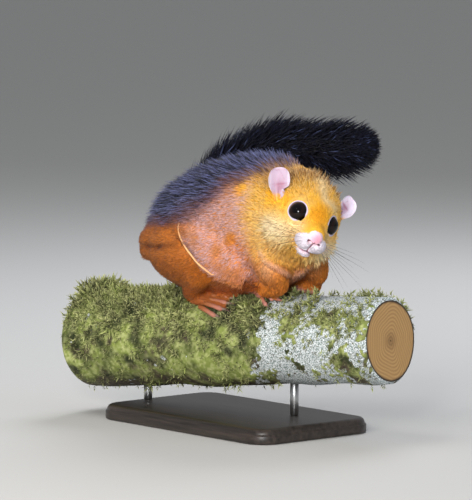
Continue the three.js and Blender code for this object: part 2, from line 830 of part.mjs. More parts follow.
// The tail's core is parted by thin cuts, and each length carries the locks rooted on it
const tailPlanes = tailCuts.map((share) => [tailPath.getPointAt(share), tailPath.getTangentAt(share)]);
for (let number = 0; number <= tailPlanes.length; number += 1) {
  const from = number === 0 ? 0 : tailCuts[number - 1];
  const to = number === tailPlanes.length ? 1.1 : tailCuts[number];
  let length = solidOf(tailCore());
  if (number > 0) {
    length = length.subtract(halfSpace(tailPlanes[number - 1], -1, gap / 2));
  }
  if (number < tailPlanes.length) {
    length = length.subtract(halfSpace(tailPlanes[number], 1, gap / 2));
  }
  const locks = tailLocks(from, to);
  const whole = largest(clearOfPlaced(length.add(united(locks.map((lock) => tailLock(lock))))));
  addMesh(`tail_${number + 1}`, whole, blackCoat);
  placed.push(united(locks.map((lock) => tailLock(lock, lockMargin))));
}
remember([tailCore()]);

for (const [name, side] of Object.entries(sides)) {
  addPiece(`thigh_${name}`, [thigh(name)], orangeCoat);
  addPiece(`shank_${name}`, [shank(name)], orangeCoat);
  addPiece(`upper_arm_${name}`, [upperArm(name)], orangeCoat);
  addPiece(`forearm_${name}`, [forearm(name)], orangeCoat);
  addPiece(`hand_${name}`, hand(name, side), bareSkin);
  addPiece(`foot_${name}`, foot(name, side), orangeCoat);
  addPiece(`patagium_${name}`, [patagium(side)], orangeCoat);
  addPiece(`tail_skin_${name}`, [tailSkin(side)], orangeCoat);
}

export default model;
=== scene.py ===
# A giant flying squirrel on a mossy perch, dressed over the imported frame.
# Lengths are millimetres until a mesh is written. +X is the way the body heads, +Y its left.

import math

import bmesh
import bpy
import numpy as np
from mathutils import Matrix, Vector


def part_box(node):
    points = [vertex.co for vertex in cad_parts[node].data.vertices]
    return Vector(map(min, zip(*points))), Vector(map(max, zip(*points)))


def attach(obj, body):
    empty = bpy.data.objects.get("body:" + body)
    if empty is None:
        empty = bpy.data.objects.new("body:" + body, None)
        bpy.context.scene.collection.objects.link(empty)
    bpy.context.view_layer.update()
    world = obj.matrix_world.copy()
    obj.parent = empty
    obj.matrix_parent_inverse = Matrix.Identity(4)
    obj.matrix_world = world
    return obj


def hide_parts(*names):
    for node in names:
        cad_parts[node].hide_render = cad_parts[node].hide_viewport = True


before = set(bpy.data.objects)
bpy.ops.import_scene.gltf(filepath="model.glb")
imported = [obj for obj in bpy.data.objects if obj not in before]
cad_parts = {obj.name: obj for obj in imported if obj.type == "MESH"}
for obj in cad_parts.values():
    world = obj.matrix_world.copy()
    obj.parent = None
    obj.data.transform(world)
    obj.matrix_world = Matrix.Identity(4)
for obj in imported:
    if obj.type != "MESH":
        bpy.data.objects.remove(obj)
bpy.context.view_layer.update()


# Small numpy helpers


def unit(vectors):
    vectors = np.asarray(vectors, float)
    return vectors / np.maximum(np.linalg.norm(vectors, axis=-1, keepdims=True), 1e-9)


def dot(a, b):
    return (a * b).sum(-1)


def smoothStep(low, high, value):  # 0 below low, 1 above high, an S between them
    share = np.clip((value - low) / (high - low), 0, 1)
    return share * share * (3 - 2 * share)


def mixed(a, b, share):
    share = np.asarray(share)[..., None]
    return a * (1 - share) + b * share


def cellNoise(points, cell, seed):  # value noise, -1 to 1: random corners of a tilted cube grid, blended
    tilt = np.array([[0.75, -0.43, 0.5], [0.61, 0.72, -0.3], [-0.24, 0.54, 0.81]])
    scaled = np.asarray(points, float) @ tilt / cell + 17.3 * seed
    corner = np.floor(scaled).astype(np.int64)
    part = scaled - corner
    part = part * part * (3 - 2 * part)
    primes = np.array([374761393, 668265263, 1274126177])
    total = np.zeros(len(scaled))
    for step in np.ndindex(2, 2, 2):
        mix = ((corner + step) @ primes + seed * 362437) & 0xFFFFFFFF
        mix = ((mix ^ (mix >> 13)) * 1103515245) & 0xFFFFFFFF
        mix = (mix ^ (mix >> 16)) / 0x7FFFFFFF - 1
        total += np.where(step, part, 1 - part).prod(axis=1) * mix
    return total


def curveThrough(points, count):  # Catmull-Rom points spread evenly by index
    points = np.asarray(points, float)
    padded = np.vstack([2 * points[0] - points[1], points, 2 * points[-1] - points[-2]])
    place = np.linspace(0, len(points) - 1, count)
    first = np.minimum(place.astype(int), len(points) - 2)
    t = (place - first)[:, None]
    a, b, c, d = (padded[first + step] for step in range(4))
    return 0.5 * (2 * b + (c - a) * t + (2 * a - 5 * b + 4 * c - d) * t**2 + (3 * b - a - 3 * c + d) * t**3)


def evenCurve(points, count):  # the same curve with its points evenly spaced along it
    fine = curveThrough(points, 400)
    along = np.concatenate([[0], np.cumsum(np.linalg.norm(np.diff(fine, axis=0), axis=1))])
    wanted = np.linspace(0, along[-1], count)
    return np.stack([np.interp(wanted, along, fine[:, axis]) for axis in range(3)], axis=1)


def fromPolyline(points, line):  # distance to a chain of short straight lines, and the share along it
    best = np.full(len(points), 1e9)
    share = np.zeros(len(points))
    line = np.asarray(line, float)
    for number in range(len(line) - 1):
        a, b = line[number], line[number + 1]
        t = np.clip(dot(points - a, b - a) / dot(b - a, b - a), 0, 1)
        away = np.linalg.norm(points - (a + t[:, None] * (b - a)), axis=1)
        nearer = away < best
        best = np.where(nearer, away, best)
        share = np.where(nearer, (number + t) / (len(line) - 1), share)
    return best, share


def ringAngles(count):
    return np.arange(count) / count * 2 * math.pi


def mirrored(places, side):  # the same places on the left, side 1, or the right, side -1
    return np.array(places, float) * (1, side, 1)


def gridFaces(rows, columns):  # quads over rows of points, each row a closed ring
    row, column = np.meshgrid(np.arange(rows - 1) * columns, np.arange(columns), indexing="ij")
    beside = (column + 1) % columns
    corners = [row + column, row + beside, row + columns + beside, row + columns + column]
    return np.stack(corners, axis=-1).reshape(-1, 4)


def endCaps(rows, sides):  # one face over the first ring and one over the last
    return np.array([np.arange(sides)[::-1], (rows - 1) * sides + np.arange(sides)])


def repeated(faces, count, size):  # the faces of one small piece for each of many alike
    return (np.arange(count)[:, None, None] * size + faces).reshape(-1, faces.shape[1])


def fanned(faces):  # faces with many corners as triangles from the first corner
    first = faces[:, :1].repeat(faces.shape[1] - 2, axis=1)
    return np.stack([first, faces[:, 1:-1], faces[:, 2:]], axis=-1).reshape(-1, 3)


def tubeAlong(path, radii, sides, upright=(0, 0, 1), flatness=1.0):
    # A round profile carried along a path: each point is path + radius * (cos a * side + sin a * up)
    path, radii = np.asarray(path, float), np.asarray(radii, float)
    ahead = unit(np.gradient(path, axis=0))
    side = unit(np.cross(np.asarray(upright, float), ahead))[:, None]
    rise = np.cross(ahead, side[:, 0])[:, None]
    angle = ringAngles(sides)[None, :, None]
    ring = side * np.cos(angle) + flatness * rise * np.sin(angle)
    return (path[:, None] + radii[:, None, None] * ring).reshape(-1, 3)


# Materials


def joined(parts):  # pieces as one: points, faces in groups with the same number of corners, colours
    points, colours, groups, total = [], [], {}, 0
    for partPoints, partColours, *partFaces in parts:
        for faces in partFaces:
            groups.setdefault(faces.shape[1], []).append(faces + total)
        points.append(partPoints)
        colours.append(partColours)
        total += len(partPoints)
    faces = [np.concatenate(group) for group in groups.values()]
    return np.concatenate(points), faces, np.concatenate(colours)


def hexToLinear(text):  # sRGB hex to linear light
    value = np.array([int(text[i : i + 2], 16) / 255 for i in (1, 3, 5)])
    return np.where(value <= 0.04045, value / 12.92, ((value + 0.055) / 1.055) ** 2.4)


def addNode(tree, kind, settings=None, links=None):  # one node, its values and what feeds it
    node = tree.nodes.new(kind)
    for name, value in (settings or {}).items():
        if isinstance(name, str) and hasattr(node, name):
            setattr(node, name, value)
        else:
            node.inputs[name].default_value = value
    for name, source in (links or {}).items():
        tree.links.new(source, node.inputs[name])
    return node


def newMaterial(name, settings):
    material = bpy.data.materials.new(name)
    material.use_nodes = True
    tree = material.node_tree
    shader = tree.nodes["Principled BSDF"]
    for socket, value in settings.items():
        shader.inputs[socket].default_value = value
    return material, tree, shader


def paintedMaterial(name, settings):  # its colour is the mesh's own markings
    material, tree, shader = newMaterial(name, settings)
    paint = addNode(tree, "ShaderNodeAttribute", {"attribute_name": "markings"})
    tree.links.new(paint.outputs["Color"], shader.inputs["Base Color"])
    return material, tree, shader, paint


def rgba(text):
    return (*hexToLinear(text), 1)


def setRamp(node, stops):
    ramp = node.color_ramp
    while len(ramp.elements) < len(stops):
        ramp.elements.new(0.5)
    for element, (place, colour) in zip(ramp.elements, stops):
        element.position = place
        element.color = rgba(colour)


def addMesh(name, points, faces, material, replaces=(), colours=None, bakeUv=None, smooth=True):
    # Faces come in groups with the same number of corners; a fourth column of the colours is alpha
    mesh = bpy.data.meshes.new(name)
    mesh.vertices.add(len(points))
    mesh.vertices.foreach_set("co", (np.asarray(points) / 1000).astype(np.float32).ravel())
    groups = faces if isinstance(faces, list) else [faces]
    corners = np.concatenate([group.ravel() for group in groups]).astype(np.int32)
    sizes = np.concatenate([np.full(len(group), group.shape[1]) for group in groups])
    mesh.loops.add(len(corners))
    mesh.loops.foreach_set("vertex_index", corners)
    mesh.polygons.add(len(sizes))
    mesh.polygons.foreach_set("loop_start", (np.cumsum(sizes) - sizes).astype(np.int32))
    mesh.update(calc_edges=True)
    mesh.polygons.foreach_set("use_smooth", np.full(len(sizes), smooth))
    if colours is not None:
        layer = mesh.color_attributes.new(name="markings", type="FLOAT_COLOR", domain="POINT")
        alpha = np.ones((len(colours), 4 - colours.shape[1]))
        layer.data.foreach_set("color", np.hstack([colours, alpha]).astype(np.float32).ravel())
    if bakeUv is not None:
        layer = mesh.uv_layers.new(name="OFBake")
        layer.data.foreach_set("uv", np.asarray(bakeUv, np.float32)[corners].ravel())
    mesh.materials.append(material)
    piece = bpy.data.objects.new(name, mesh)
    bpy.context.scene.collection.objects.link(piece)
    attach(piece, "root")
    if replaces:
        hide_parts(*replaces)


# Camera, light and floor

viewpoint = {
    "azimuth": 50,  # degrees
    "elevation": 6,
    "distance": 4.0,  # metres
    "high": 0.46,  # height of the view at the squirrel
    "aim": (0.0344, -0.0271, 0.1688),
    "sensor": 36,
}


def placeLooking(name, data, aim, azimuth, elevation, distance):
    # An object seen from its aim at these angles in degrees, looking back at the aim
    azimuth, elevation = math.radians(azimuth), math.radians(elevation)
    flat = math.cos(elevation)
    way = np.array([math.sin(azimuth) * flat, -math.cos(azimuth) * flat, math.sin(elevation)])
    holder = bpy.data.objects.new(name, data)
    holder.location = Vector(np.array(aim) + way * distance)
    holder.rotation_mode = "QUATERNION"
    holder.rotation_quaternion = (-Vector(way)).to_track_quat("-Z", "Y")
    bpy.context.scene.collection.objects.link(holder)
    return holder


def addCamera():
    camera = bpy.data.cameras.new("camera")
    camera.sensor_width = viewpoint["sensor"]
    camera.lens = viewpoint["sensor"] * viewpoint["distance"] / viewpoint["high"]
    camera.clip_end = 50
    place = (viewpoint[key] for key in ("aim", "azimuth", "elevation", "distance"))
    bpy.context.scene.camera = placeLooking("camera", camera, *place)


studio = {
    "world": "#DFE2E6",
    "worldStrength": 0.5,
    "floor": "#B4B3B0",
    "aim": (0.03, 0, 0.17),
    # azimuth, elevation, distance, size in metres, watts, colour
    "lamps": {
        "keyLamp": (22, 13, 1.9, 0.8, 25, "#FFF8EE"),
        "frontLamp": (43, 14, 2.6, 0.4, 35, "#FFFFFF"),
        "fillLamp": (115, 24, 2.2, 1.4, 8, "#EAF1FF"),
        "rimLamp": (210, 44, 1.8, 0.9, 22, "#F1F5FF"),
        "topLamp": (320, 66, 1.9, 1.0, 16, "#FFFFFF"),
    },
}


def addLight():
    world = bpy.data.worlds.new("studio")
    world.use_nodes = True
    background = world.node_tree.nodes["Background"]
    background.inputs["Color"].default_value = rgba(studio["world"])
    background.inputs["Strength"].default_value = studio["worldStrength"]
    bpy.context.scene.world = world
    bpy.context.scene.view_settings.view_transform = "Standard"
    for name, (azimuth, elevation, distance, size, watts, colour) in studio["lamps"].items():
        lamp = bpy.data.lights.new(name, "AREA")
        lamp.size = size
        lamp.energy = watts
        lamp.color = tuple(hexToLinear(colour))
        holder = placeLooking(name, lamp, studio["aim"], azimuth, elevation, distance)
        holder.visible_glossy = size < 0.6  # only the small lamp shows in the wet eyes


def addFloor():
    # A round sheet of painted board, flat, matt and pale: rings of radius = 0.05 * 2.3 ^ ring, metres
    settings = {"Base Color": rgba(studio["floor"]), "Roughness": 0.9}
    material, tree, shader = newMaterial("paintedBoard", settings)
    grain = addNode(tree, "ShaderNodeTexNoise", {"Scale": 220.0, "Detail": 3.0}).outputs["Fac"]
    bump = addNode(tree, "ShaderNodeBump", {"Strength": 0.08, "Distance": 0.0004}, {"Height": grain})
    tree.links.new(bump.outputs["Normal"], shader.inputs["Normal"])
    rings, sides = 10, 96
    radius, angle = np.repeat(0.05 * 2.3 ** np.arange(rings), sides), np.tile(ringAngles(sides), rings)
    level = np.full(rings * sides, -0.0002)
    points = np.column_stack([radius * np.cos(angle), radius * np.sin(angle), level])
    faces = gridFaces(rings, sides)[:, ::-1].tolist() + [list(range(sides))]
    mesh = bpy.data.meshes.new("studioFloor")
    mesh.from_pydata(points.tolist(), [], faces)
    mesh.materials.append(material)
    floor = bpy.data.objects.new("studioFloor", mesh)
    bpy.context.scene.collection.objects.link(floor)


addCamera()
addLight()
addFloor()
print("camera, light and floor ready")


# Stand

stand = {
    "length": 240,
    "width": 140,
    "corner": 22,
    "rodRadius": 4,
    "profile": [  # how far in from the outline, and the height
        *((1.6, 0.0), (0.4, 0.5), (0.0, 1.6), (0.0, 7.4), (0.5, 8.2), (1.4, 8.7)),
        *((1.5, 9.4), (1.9, 11.0), (2.9, 12.5), (4.4, 13.5), (6.4, 13.96), (9.0, 14.0)),
    ],
}


def roundedOutline(halfLength, halfWidth, corner, count):
    # Quarter circles at the four corners, joined by the straight sides
    angle = np.linspace(0, 2 * math.pi, count, endpoint=False) + 1e-4
    centreX = np.sign(np.cos(angle)) * (halfLength - corner)
    centreY = np.sign(np.sin(angle)) * (halfWidth - corner)
    return np.stack([centreX + corner * np.cos(angle), centreY + corner * np.sin(angle)], axis=-1)


def standWood():
    # Ebonised oak, sanded and waxed: near black, with the pores as fine matt lines along its length
    settings = {"Roughness": 0.42, "Coat Weight": 0.15, "Coat Roughness": 0.35, "IOR": 1.5}
    material, tree, shader = newMaterial("ebonisedOak", settings)
    place = addNode(tree, "ShaderNodeTexCoord").outputs["Object"]
    mapping = addNode(tree, "ShaderNodeMapping", {"Scale": (14, 260, 260)}, {"Vector": place}).outputs[0]
    settings = {"Scale": 1.0, "Detail": 5.0, "Roughness": 0.65}
    pores = addNode(tree, "ShaderNodeTexNoise", settings, {"Vector": mapping}).outputs["Fac"]
    ramp = addNode(tree, "ShaderNodeValToRGB", links={"Fac": pores})
    setRamp(ramp, [(0.35, "#171310"), (0.7, "#3A302A")])
    bump = addNode(tree, "ShaderNodeBump", {"Strength": 0.3, "Distance": 0.0003}, {"Height": pores})
    tree.links.new(ramp.outputs["Color"], shader.inputs["Base Color"])
    tree.links.new(bump.outputs["Normal"], shader.inputs["Normal"])
    return material


def addStand():
    # The base: its outline carried up a profile with a rounded lower edge and a cove above
    count = 144
    rows = []
    for inset, height in stand["profile"]:
        size = (stand["length"] / 2 - inset, stand["width"] / 2 - inset, stand["corner"] - inset)
        rows.append(np.column_stack([roundedOutline(*size, count), np.full(count, height)]))
    under = rows[0] * (0.02, 0.02, 1)
    inner = [rows[-1] * (share, share, 1) for share in (0.66, 0.33, 0.02)]  # the top, closed to its middle
    points = np.concatenate([under, *rows, *inner])
    faces = [gridFaces(len(rows) + 4, count), endCaps(len(rows) + 4, count)]
    addMesh("standBase", points, faces, standWood(), ["stand_base"])
    # Brushed steel: the brush marks run round each rod
    settings = {"Base Color": rgba("#B9BABA"), "Metallic": 1.0, "Roughness": 0.3}
    material, tree, shader = newMaterial("brushedSteel", settings)
    place = addNode(tree, "ShaderNodeTexCoord").outputs["Object"]
    mapping = addNode(tree, "ShaderNodeMapping", {"Scale": (90, 90, 2600)}, {"Vector": place}).outputs[0]
    marks = addNode(tree, "ShaderNodeTexNoise", {"Scale": 1.0, "Detail": 2.0}, {"Vector": mapping})
    settings = {"To Min": 0.22, "To Max": 0.42}
    wear = addNode(tree, "ShaderNodeMapRange", settings, {"Value": marks.outputs["Fac"]})
    tree.links.new(wear.outputs[0], shader.inputs["Roughness"])
    radius, sides = stand["rodRadius"], 40
    faces = [gridFaces(4, sides), endCaps(4, sides)]
    for number in (1, 2):
        node = f"stand_rod_{number}"
        low, high = (np.array(corner) * 1000 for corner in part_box(node))
        middle = np.tile((low + high) / 2, (4, 1))
        middle[:, 2] = [low[2], low[2] + 0.4, high[2] - 0.4, high[2] - 0.02]
        points = tubeAlong(middle, [radius - 0.4, radius, radius, radius - 0.4], sides, upright=(0, 1, 0))
        addMesh(f"standRod{number}", points, faces, material, [node])


addStand()
print("stand ready")


# Branch

paws = {
    # node: along, around, length, width, toes, spread, turn
    "hand_left": (80, 0.36, 34, 17, 4, 24, 0.1),
    "hand_right": (70, -0.33, 34, 17, 4, 24, -0.1),
    "foot_left": (2, 0.62, 52, 19, 5, 27, 0.06),
    "foot_right": (2, -0.62, 52, 19, 5, 27, -0.06),
}
branch = {
    "perchHeight": 124,
    "heading": math.radians(12),
    "rise": math.radians(4),
    "back": -150,
    "front": 205,
    "radius": 42,
    "chestPlace": 60,
    "alongSteps": 300,
    "rounds": 170,
    "leaves": 7000,
}
branchAhead = np.array(
    [
        math.cos(branch["heading"]) * math.cos(branch["rise"]),
        math.sin(branch["heading"]) * math.cos(branch["rise"]),
        math.sin(branch["rise"]),
    ]
)
branchLeft = np.array([-math.sin(branch["heading"]), math.cos(branch["heading"]), 0])
branchUp = np.cross(branchAhead, branchLeft)


def unevenWave(value, seed):  # three sines with no common beat, -1 to 1
    return (np.sin(value + seed) + np.sin(value * 1.73 + 2.1 * seed) + np.sin(value * 0.61 + seed)) / 3


def branchRadiusAt(along, around):
    # A slow taper, with lumps that fade towards the top, where the squirrel sits
    taper = branch["radius"] - 0.018 * (along - branch["chestPlace"])
    lumps = 1.6 * unevenWave(along / 17 + 1.5 * np.sin(around), 1) + 1.4 * unevenWave(2 * around, 2)
    return taper + lumps * (1 - 0.6 * np.maximum(0, np.cos(around)))


def overBranch(along, around, height):
    # A point over the branch: around is the angle from its top towards the squirrel's left
    along, around, height = np.broadcast_arrays(*(np.asarray(v, float) for v in (along, around, height)))
    sunk = branch["perchHeight"] - branch["radius"] - branch["chestPlace"] * math.sin(branch["rise"])
    reach = branchRadiusAt(along, around) + height
    return (
        np.array([-30, 0, sunk])
        + along[..., None] * branchAhead
        + (reach * np.cos(around))[..., None] * branchUp
        + (reach * np.sin(around))[..., None] * branchLeft
    )


def lichenShare(points):  # 1 where pale crusts of lichen lie, mostly on the near right of the perch
    patches = 0.8 * cellNoise(points, 30, 3) + 0.5 * cellNoise(points, 11, 4)
    crumbs = 0.5 * cellNoise(points, 6, 5) + 0.5 * cellNoise(points, 3.0, 6)
    along = dot(points - (-30, 0, 0), branchAhead)
    return smoothStep(-0.15, 0.35, patches + crumbs + 1.3 * smoothStep(40, 110, along) - 0.9)


def mossDepth(around, points):
    # Cushions of moss: rounded swellings a few millimetres high, thin where the lichen lies
    cushions = 0.5 + 0.5 * cellNoise(points, 15, 11)
    fine = 0.5 + 0.5 * cellNoise(points, 4.2, 12)
    low = smoothStep(-1.2, -0.2, np.cos(around))
    return (2.6 * cushions**1.5 + 1.0 * fine) * (0.25 + 0.75 * low) * (1 - 0.75 * lichenShare(points))


def mossColours(points, depth):
    # dark patches of painted shade among the green, with yellow flecks where the patches are light
    shade = 0.5 + 0.5 * cellNoise(points, 11, 21)
    fleck = 0.5 + 0.5 * cellNoise(points, 2.2, 22)
    dark, green, yellow = (hexToLinear(text) for text in ("#252C14", "#7C8844", "#CFD298"))
    colours = mixed(np.tile(dark, (len(points), 1)), green, np.clip(2.2 * shade - 0.45, 0, 1))
    colours = mixed(colours, yellow, np.clip((fleck - 0.35) * 1.3 * shade, 0, 1))
    bark = mixed(np.tile(hexToLinear("#2E271F"), (len(points), 1)), hexToLinear("#5E5545"), fleck)
    colours = mixed(bark, colours, smoothStep(0.3, 1.2, depth))
    return np.column_stack([colours, 1 - lichenShare(points)])


def mossMaterial():
    # Moss and lichen on bark: matt, soft and uneven, with a grain of about a millimetre. The crusts
    # of lichen are pale flakes 4 mm across with dark cracks between, where the paint's alpha is low
    material, tree, shader, paint = paintedMaterial("mossAndLichen", {"Roughness": 0.88, "IOR": 1.45})
    place = addNode(tree, "ShaderNodeTexCoord").outputs["Object"]
    grain, wander = (
        addNode(tree, "ShaderNodeTexNoise", {"Scale": scale, "Detail": detail}, {"Vector": place}).outputs
        for scale, detail in ((900.0, 4.0), (300.0, 3.0))
    )
    settings = {"operation": "MULTIPLY_ADD", 1: (0.009, 0.009, 0.009)}
    bent = addNode(tree, "ShaderNodeVectorMath", settings, {0: wander["Color"], 2: place}).outputs[0]
    settings = {"feature": "DISTANCE_TO_EDGE", "Scale": 240.0}
    flakes = addNode(tree, "ShaderNodeTexVoronoi", settings, {"Vector": bent}).outputs["Distance"]
    settings = {"From Min": -0.09, "From Max": 0.14}
    cracked = addNode(tree, "ShaderNodeMapRange", settings, {"Value": flakes}).outputs[0]
    settings = {"From Min": 0.42, "From Max": 0.58}
    speckle = addNode(tree, "ShaderNodeMapRange", settings, {"Value": grain["Fac"]}).outputs[0]
    settings = {"data_type": "RGBA", 6: rgba("#6C7A78"), 7: rgba("#D3D9DC")}
    pale = addNode(tree, "ShaderNodeMix", settings, {0: speckle}).outputs[2]
    # The crust shows where (1 - alpha) * cracked + wander passes about one
    settings = {"operation": "SUBTRACT", 0: 1.0}
    share = addNode(tree, "ShaderNodeMath", settings, {1: paint.outputs["Alpha"]}).outputs[0]
    shown = addNode(tree, "ShaderNodeMath", {"operation": "MULTIPLY"}, {0: share, 1: cracked}).outputs[0]
    uneven = addNode(tree, "ShaderNodeMath", {"operation": "ADD"}, {0: shown, 1: wander["Fac"]}).outputs[0]
    settings = {"From Min": 0.85, "From Max": 1.05}
    crust = addNode(tree, "ShaderNodeMapRange", settings, {"Value": uneven}).outputs[0]
    links = {0: crust, 6: paint.outputs["Color"], 7: pale}
    blend = addNode(tree, "ShaderNodeMix", {"data_type": "RGBA"}, links).outputs[2]
    bump = addNode(tree, "ShaderNodeBump", {"Strength": 0.6, "Distance": 0.0008}, {"Height": grain["Fac"]})
    tree.links.new(blend, shader.inputs["Base Color"])
    tree.links.new(bump.outputs["Normal"], shader.inputs["Normal"])
    return material


def cutWoodMaterial():
    # A sawn end: growth rings about 1.6 mm apart round the pith, with fine saw marks across
    material, tree, shader, _ = paintedMaterial("sawnWood", {"Roughness": 0.8})
    place = addNode(tree, "ShaderNodeTexCoord").outputs["Object"]
    saw = addNode(tree, "ShaderNodeTexNoise", {"Scale": 1400.0, "Detail": 3.0}, {"Vector": place})
    settings = {"Strength": 0.4, "Distance": 0.0004}
    bump = addNode(tree, "ShaderNodeBump", settings, {"Height": saw.outputs["Fac"]})
    tree.links.new(bump.outputs["Normal"], shader.inputs["Normal"])
    return material


def addBranch():
    # The branch: radius = taper + lumps + moss, on a grid of length by angle, with the last rows
    # turned in over a bevel to the sawn ends
    steps, rounds = branch["alongSteps"], branch["rounds"]
    along = np.repeat(np.linspace(branch["back"], branch["front"], steps), rounds)
    around = np.tile(ringAngles(rounds), steps)
    depth = mossDepth(around, overBranch(along, around, 0))
    ending = np.minimum(along - branch["back"], branch["front"] - along)
    height = depth * smoothStep(0, 6, ending) - 2.2 * (1 - smoothStep(0, 2.5, ending)) - 0.6
    points = overBranch(along, around, height)
    paint = mossColours(points, depth)
    faces = gridFaces(steps, rounds)
    addMesh("perchBranch", points, faces, mossMaterial(), ["perch_branch"], colours=paint)
    # The sawn ends: discs of rings, ring radius squeezed by a slow wobble
    rings = 36
    share = np.linspace(0.012, 1, rings)[:, None]
    angle = ringAngles(rounds)[None, :]
    outer = np.repeat(share.ravel(), rounds)
    faces = [gridFaces(rings, rounds), np.arange(rounds)[None, :]]
    for name, end, turn in (("branchCutBack", branch["back"], -1), ("branchCutFront", branch["front"], 1)):
        rim = branchRadiusAt(end, angle) - 2.8
        reach = share * rim - branchRadiusAt(end, angle)
        dome = end + turn * 0.25 * np.sin(share * 20 + np.sin(3 * angle)) * 0.2
        disc = overBranch(dome, angle, reach).reshape(-1, 3)
        across = (share * rim * (1 + 0.05 * np.sin(angle * 2 + 1) + 0.03 * np.sin(angle * 5))).ravel()
        dark = 0.5 + 0.5 * np.sin(across / 1.6 * 2 * math.pi + 1.2 * cellNoise(disc, 14, 31))
        wood = mixed(np.tile(hexToLinear("#B9935F"), (len(disc), 1)), hexToLinear("#7A5733"), dark * 0.6)
        wood = mixed(wood, hexToLinear("#5A3E25"), smoothStep(0.35, 0.0, outer) * 0.5)
        wood = mixed(wood, hexToLinear("#33281F"), smoothStep(0.93, 0.97, outer))
        turned = [group[:, ::-1] for group in faces] if turn < 0 else faces
        addMesh(name, disc, turned, cutWoodMaterial(), colours=wood)


def addMossLeaves():
    # Sprigs of moss: a short stem of pointed leaves, each a thin closed sliver of four faces,
    # spread at even angles round the stem and leaning out as they rise
    random = np.random.default_rng(5)
    count, leaves = branch["leaves"], 6
    along = random.uniform(branch["back"] + 4, branch["front"] - 4, count)
    around = random.normal(-0.1, 1.05, count)
    bare = overBranch(along, around, 0)
    depth = mossDepth(around, bare)
    keep = random.random(count) < 1.05 - lichenShare(bare)
    along, around, bare, depth = along[keep], around[keep], bare[keep], depth[keep]
    count = len(along)
    root = overBranch(along, around, depth - 1.2)
    outward = unit(np.cos(around)[:, None] * branchUp + np.sin(around)[:, None] * branchLeft)
    hanging = smoothStep(0.6, 1.5, np.abs(around))[:, None]  # sprigs on the sides hang a little
    lean = unit(outward - (0, 0, 0.35) * hanging + 0.4 * random.normal(size=(count, 3)))
    size = random.uniform(3.0, 6.6, count) * (1 + 0.8 * smoothStep(0.1, 0.7, cellNoise(bare, 12, 32)))
    size = size * (1 - 0.2 * smoothStep(0.9, 1.5, np.abs(around)))  # shorter below
    for pawAlong, pawAround, length, _, _, wide, turnAway in paws.values():
        onwards = along - pawAlong
        ahead = smoothStep(-12, -4, onwards) * smoothStep(length * 0.85, length * 0.7, onwards)
        aside = np.abs(around - pawAround - 0.7 * turnAway) * branch["radius"]
        size = size * (1 - 0.6 * ahead * smoothStep(wide / 2 + 5, wide / 2, aside))
    turn = random.uniform(0, 2 * math.pi, (count, 1)) + np.arange(leaves)[None, :] * 2.4
    side = unit(np.cross(lean, branchAhead + 0.01))
    other = np.cross(lean, side)
    spoke = side[:, None] * np.cos(turn)[..., None] + other[:, None] * np.sin(turn)[..., None]
    climb = np.linspace(0.1, 0.9, leaves)[None, :, None]
    start = root[:, None] + lean[:, None] * climb * size[:, None, None]
    spread = 0.9 - 0.55 * climb
    way = unit(lean[:, None] * (1 - spread) + spoke * spread)
    length = (size[:, None] * random.uniform(0.55, 0.9, (count, leaves)))[..., None]
    across = unit(np.cross(way, lean[:, None] + 0.01))
    width = 0.17 * length
    over = start + np.cross(way, across) * width * 0.6
    corners = np.stack([start + across * width, start - across * width, over, start + way * length], axis=2)
    faces = repeated(np.array([[0, 1, 2], [0, 3, 1], [1, 3, 2], [2, 3, 0]]), count * leaves, 4)
    green = mossColours(np.repeat(bare, leaves, axis=0), np.full(count * leaves, 3.0))[:, :3]
    green = green * np.repeat(random.uniform(0.5, 1.7, (count, 1)), leaves, axis=0)
    # Leaf tips paler yellow-green, in part painted highlight, and leaf bases at half brightness as painted
    # shade within the sprig
    tip = mixed(green, hexToLinear("#DCDC9C"), np.repeat(random.uniform(0.15, 0.8, count), leaves))
    paint = np.stack([green * 0.5, green * 0.5, green * 0.5, tip], axis=1).reshape(-1, 3)
    points = corners.reshape(-1, 3)
    addMesh("mossLeaves", points, faces, mossMaterial(), colours=paint, smooth=False)


addBranch()
addMossLeaves()
print("branch ready")


# The head, in its own frame: +X to the nose, +Y its left, the origin between the ears' roots
headPose = {"at": (114.1, -7.5, 200.4), "yaw": -23.4, "pitch": -5.9, "roll": -24.5}
insideHead = np.array([-4.0, 0, -6])
noseTip = np.array([38.5, 0, -8])
headForms = [  # centre, reach and how softly each melts into those before it
    ((-22, 0, 3), (34, 36, 36), 1),
    ((-14, 0, -14), (25, 25, 18), 6),
    ((2, 0, 4), (19.5, 22, 19), 8),
    ((-7, 17, -15), (20, 18, 18), 7),
    ((5.6, 13.1, 3), (10.6, 10.6, 10.6), 4),
    ((18, 0, -9), (17.5, 12.6, 12.6), 6),
    ((19.5, 0, -23.8), (10, 8.2, 6), 3),
    ((25, 6.8, -15.6), (10.2, 8.4, 8.2), 2.5),
    ((33.2, 0, -9.8), (5.9, 7.0, 6.4), 1.2),
]


def turnBetween(degrees, first, second):  # a turn from one axis towards another
    angle = math.radians(degrees)
    turn = np.eye(3)
    turn[[first, second], [first, second]] = math.cos(angle)
    turn[[second, first], [first, second]] = math.sin(angle), -math.sin(angle)
    return turn


headAxes = turnBetween(headPose["yaw"], 0, 1) @ turnBetween(headPose["pitch"], 0, 2)
headAxes = headAxes @ turnBetween(headPose["roll"], 1, 2)


def headToRow(points):
    return points @ headAxes.T + np.array(headPose["at"])


def rowToHead(points):
    return (points - np.array(headPose["at"])) @ headAxes


def outsideHead(points):
    # Distance outside each ellipsoid, size * (size - 1) / |across / reach|, joined by a soft minimum
    nearest = np.full(len(points), 1e3)
    for at, reach, melt in headForms:
        for side in (1,) if at[1] == 0 else (-1, 1):
            across = (points - mirrored(at, side)) / np.array(reach, float)
            size = np.linalg.norm(across, axis=1)
            away = size * (size - 1) / np.maximum(np.linalg.norm(across / reach, axis=1), 1e-9)
            share = np.maximum(melt - np.abs(nearest - away), 0) / melt
            nearest = np.minimum(nearest, away) - share**2 * melt / 4
    return nearest


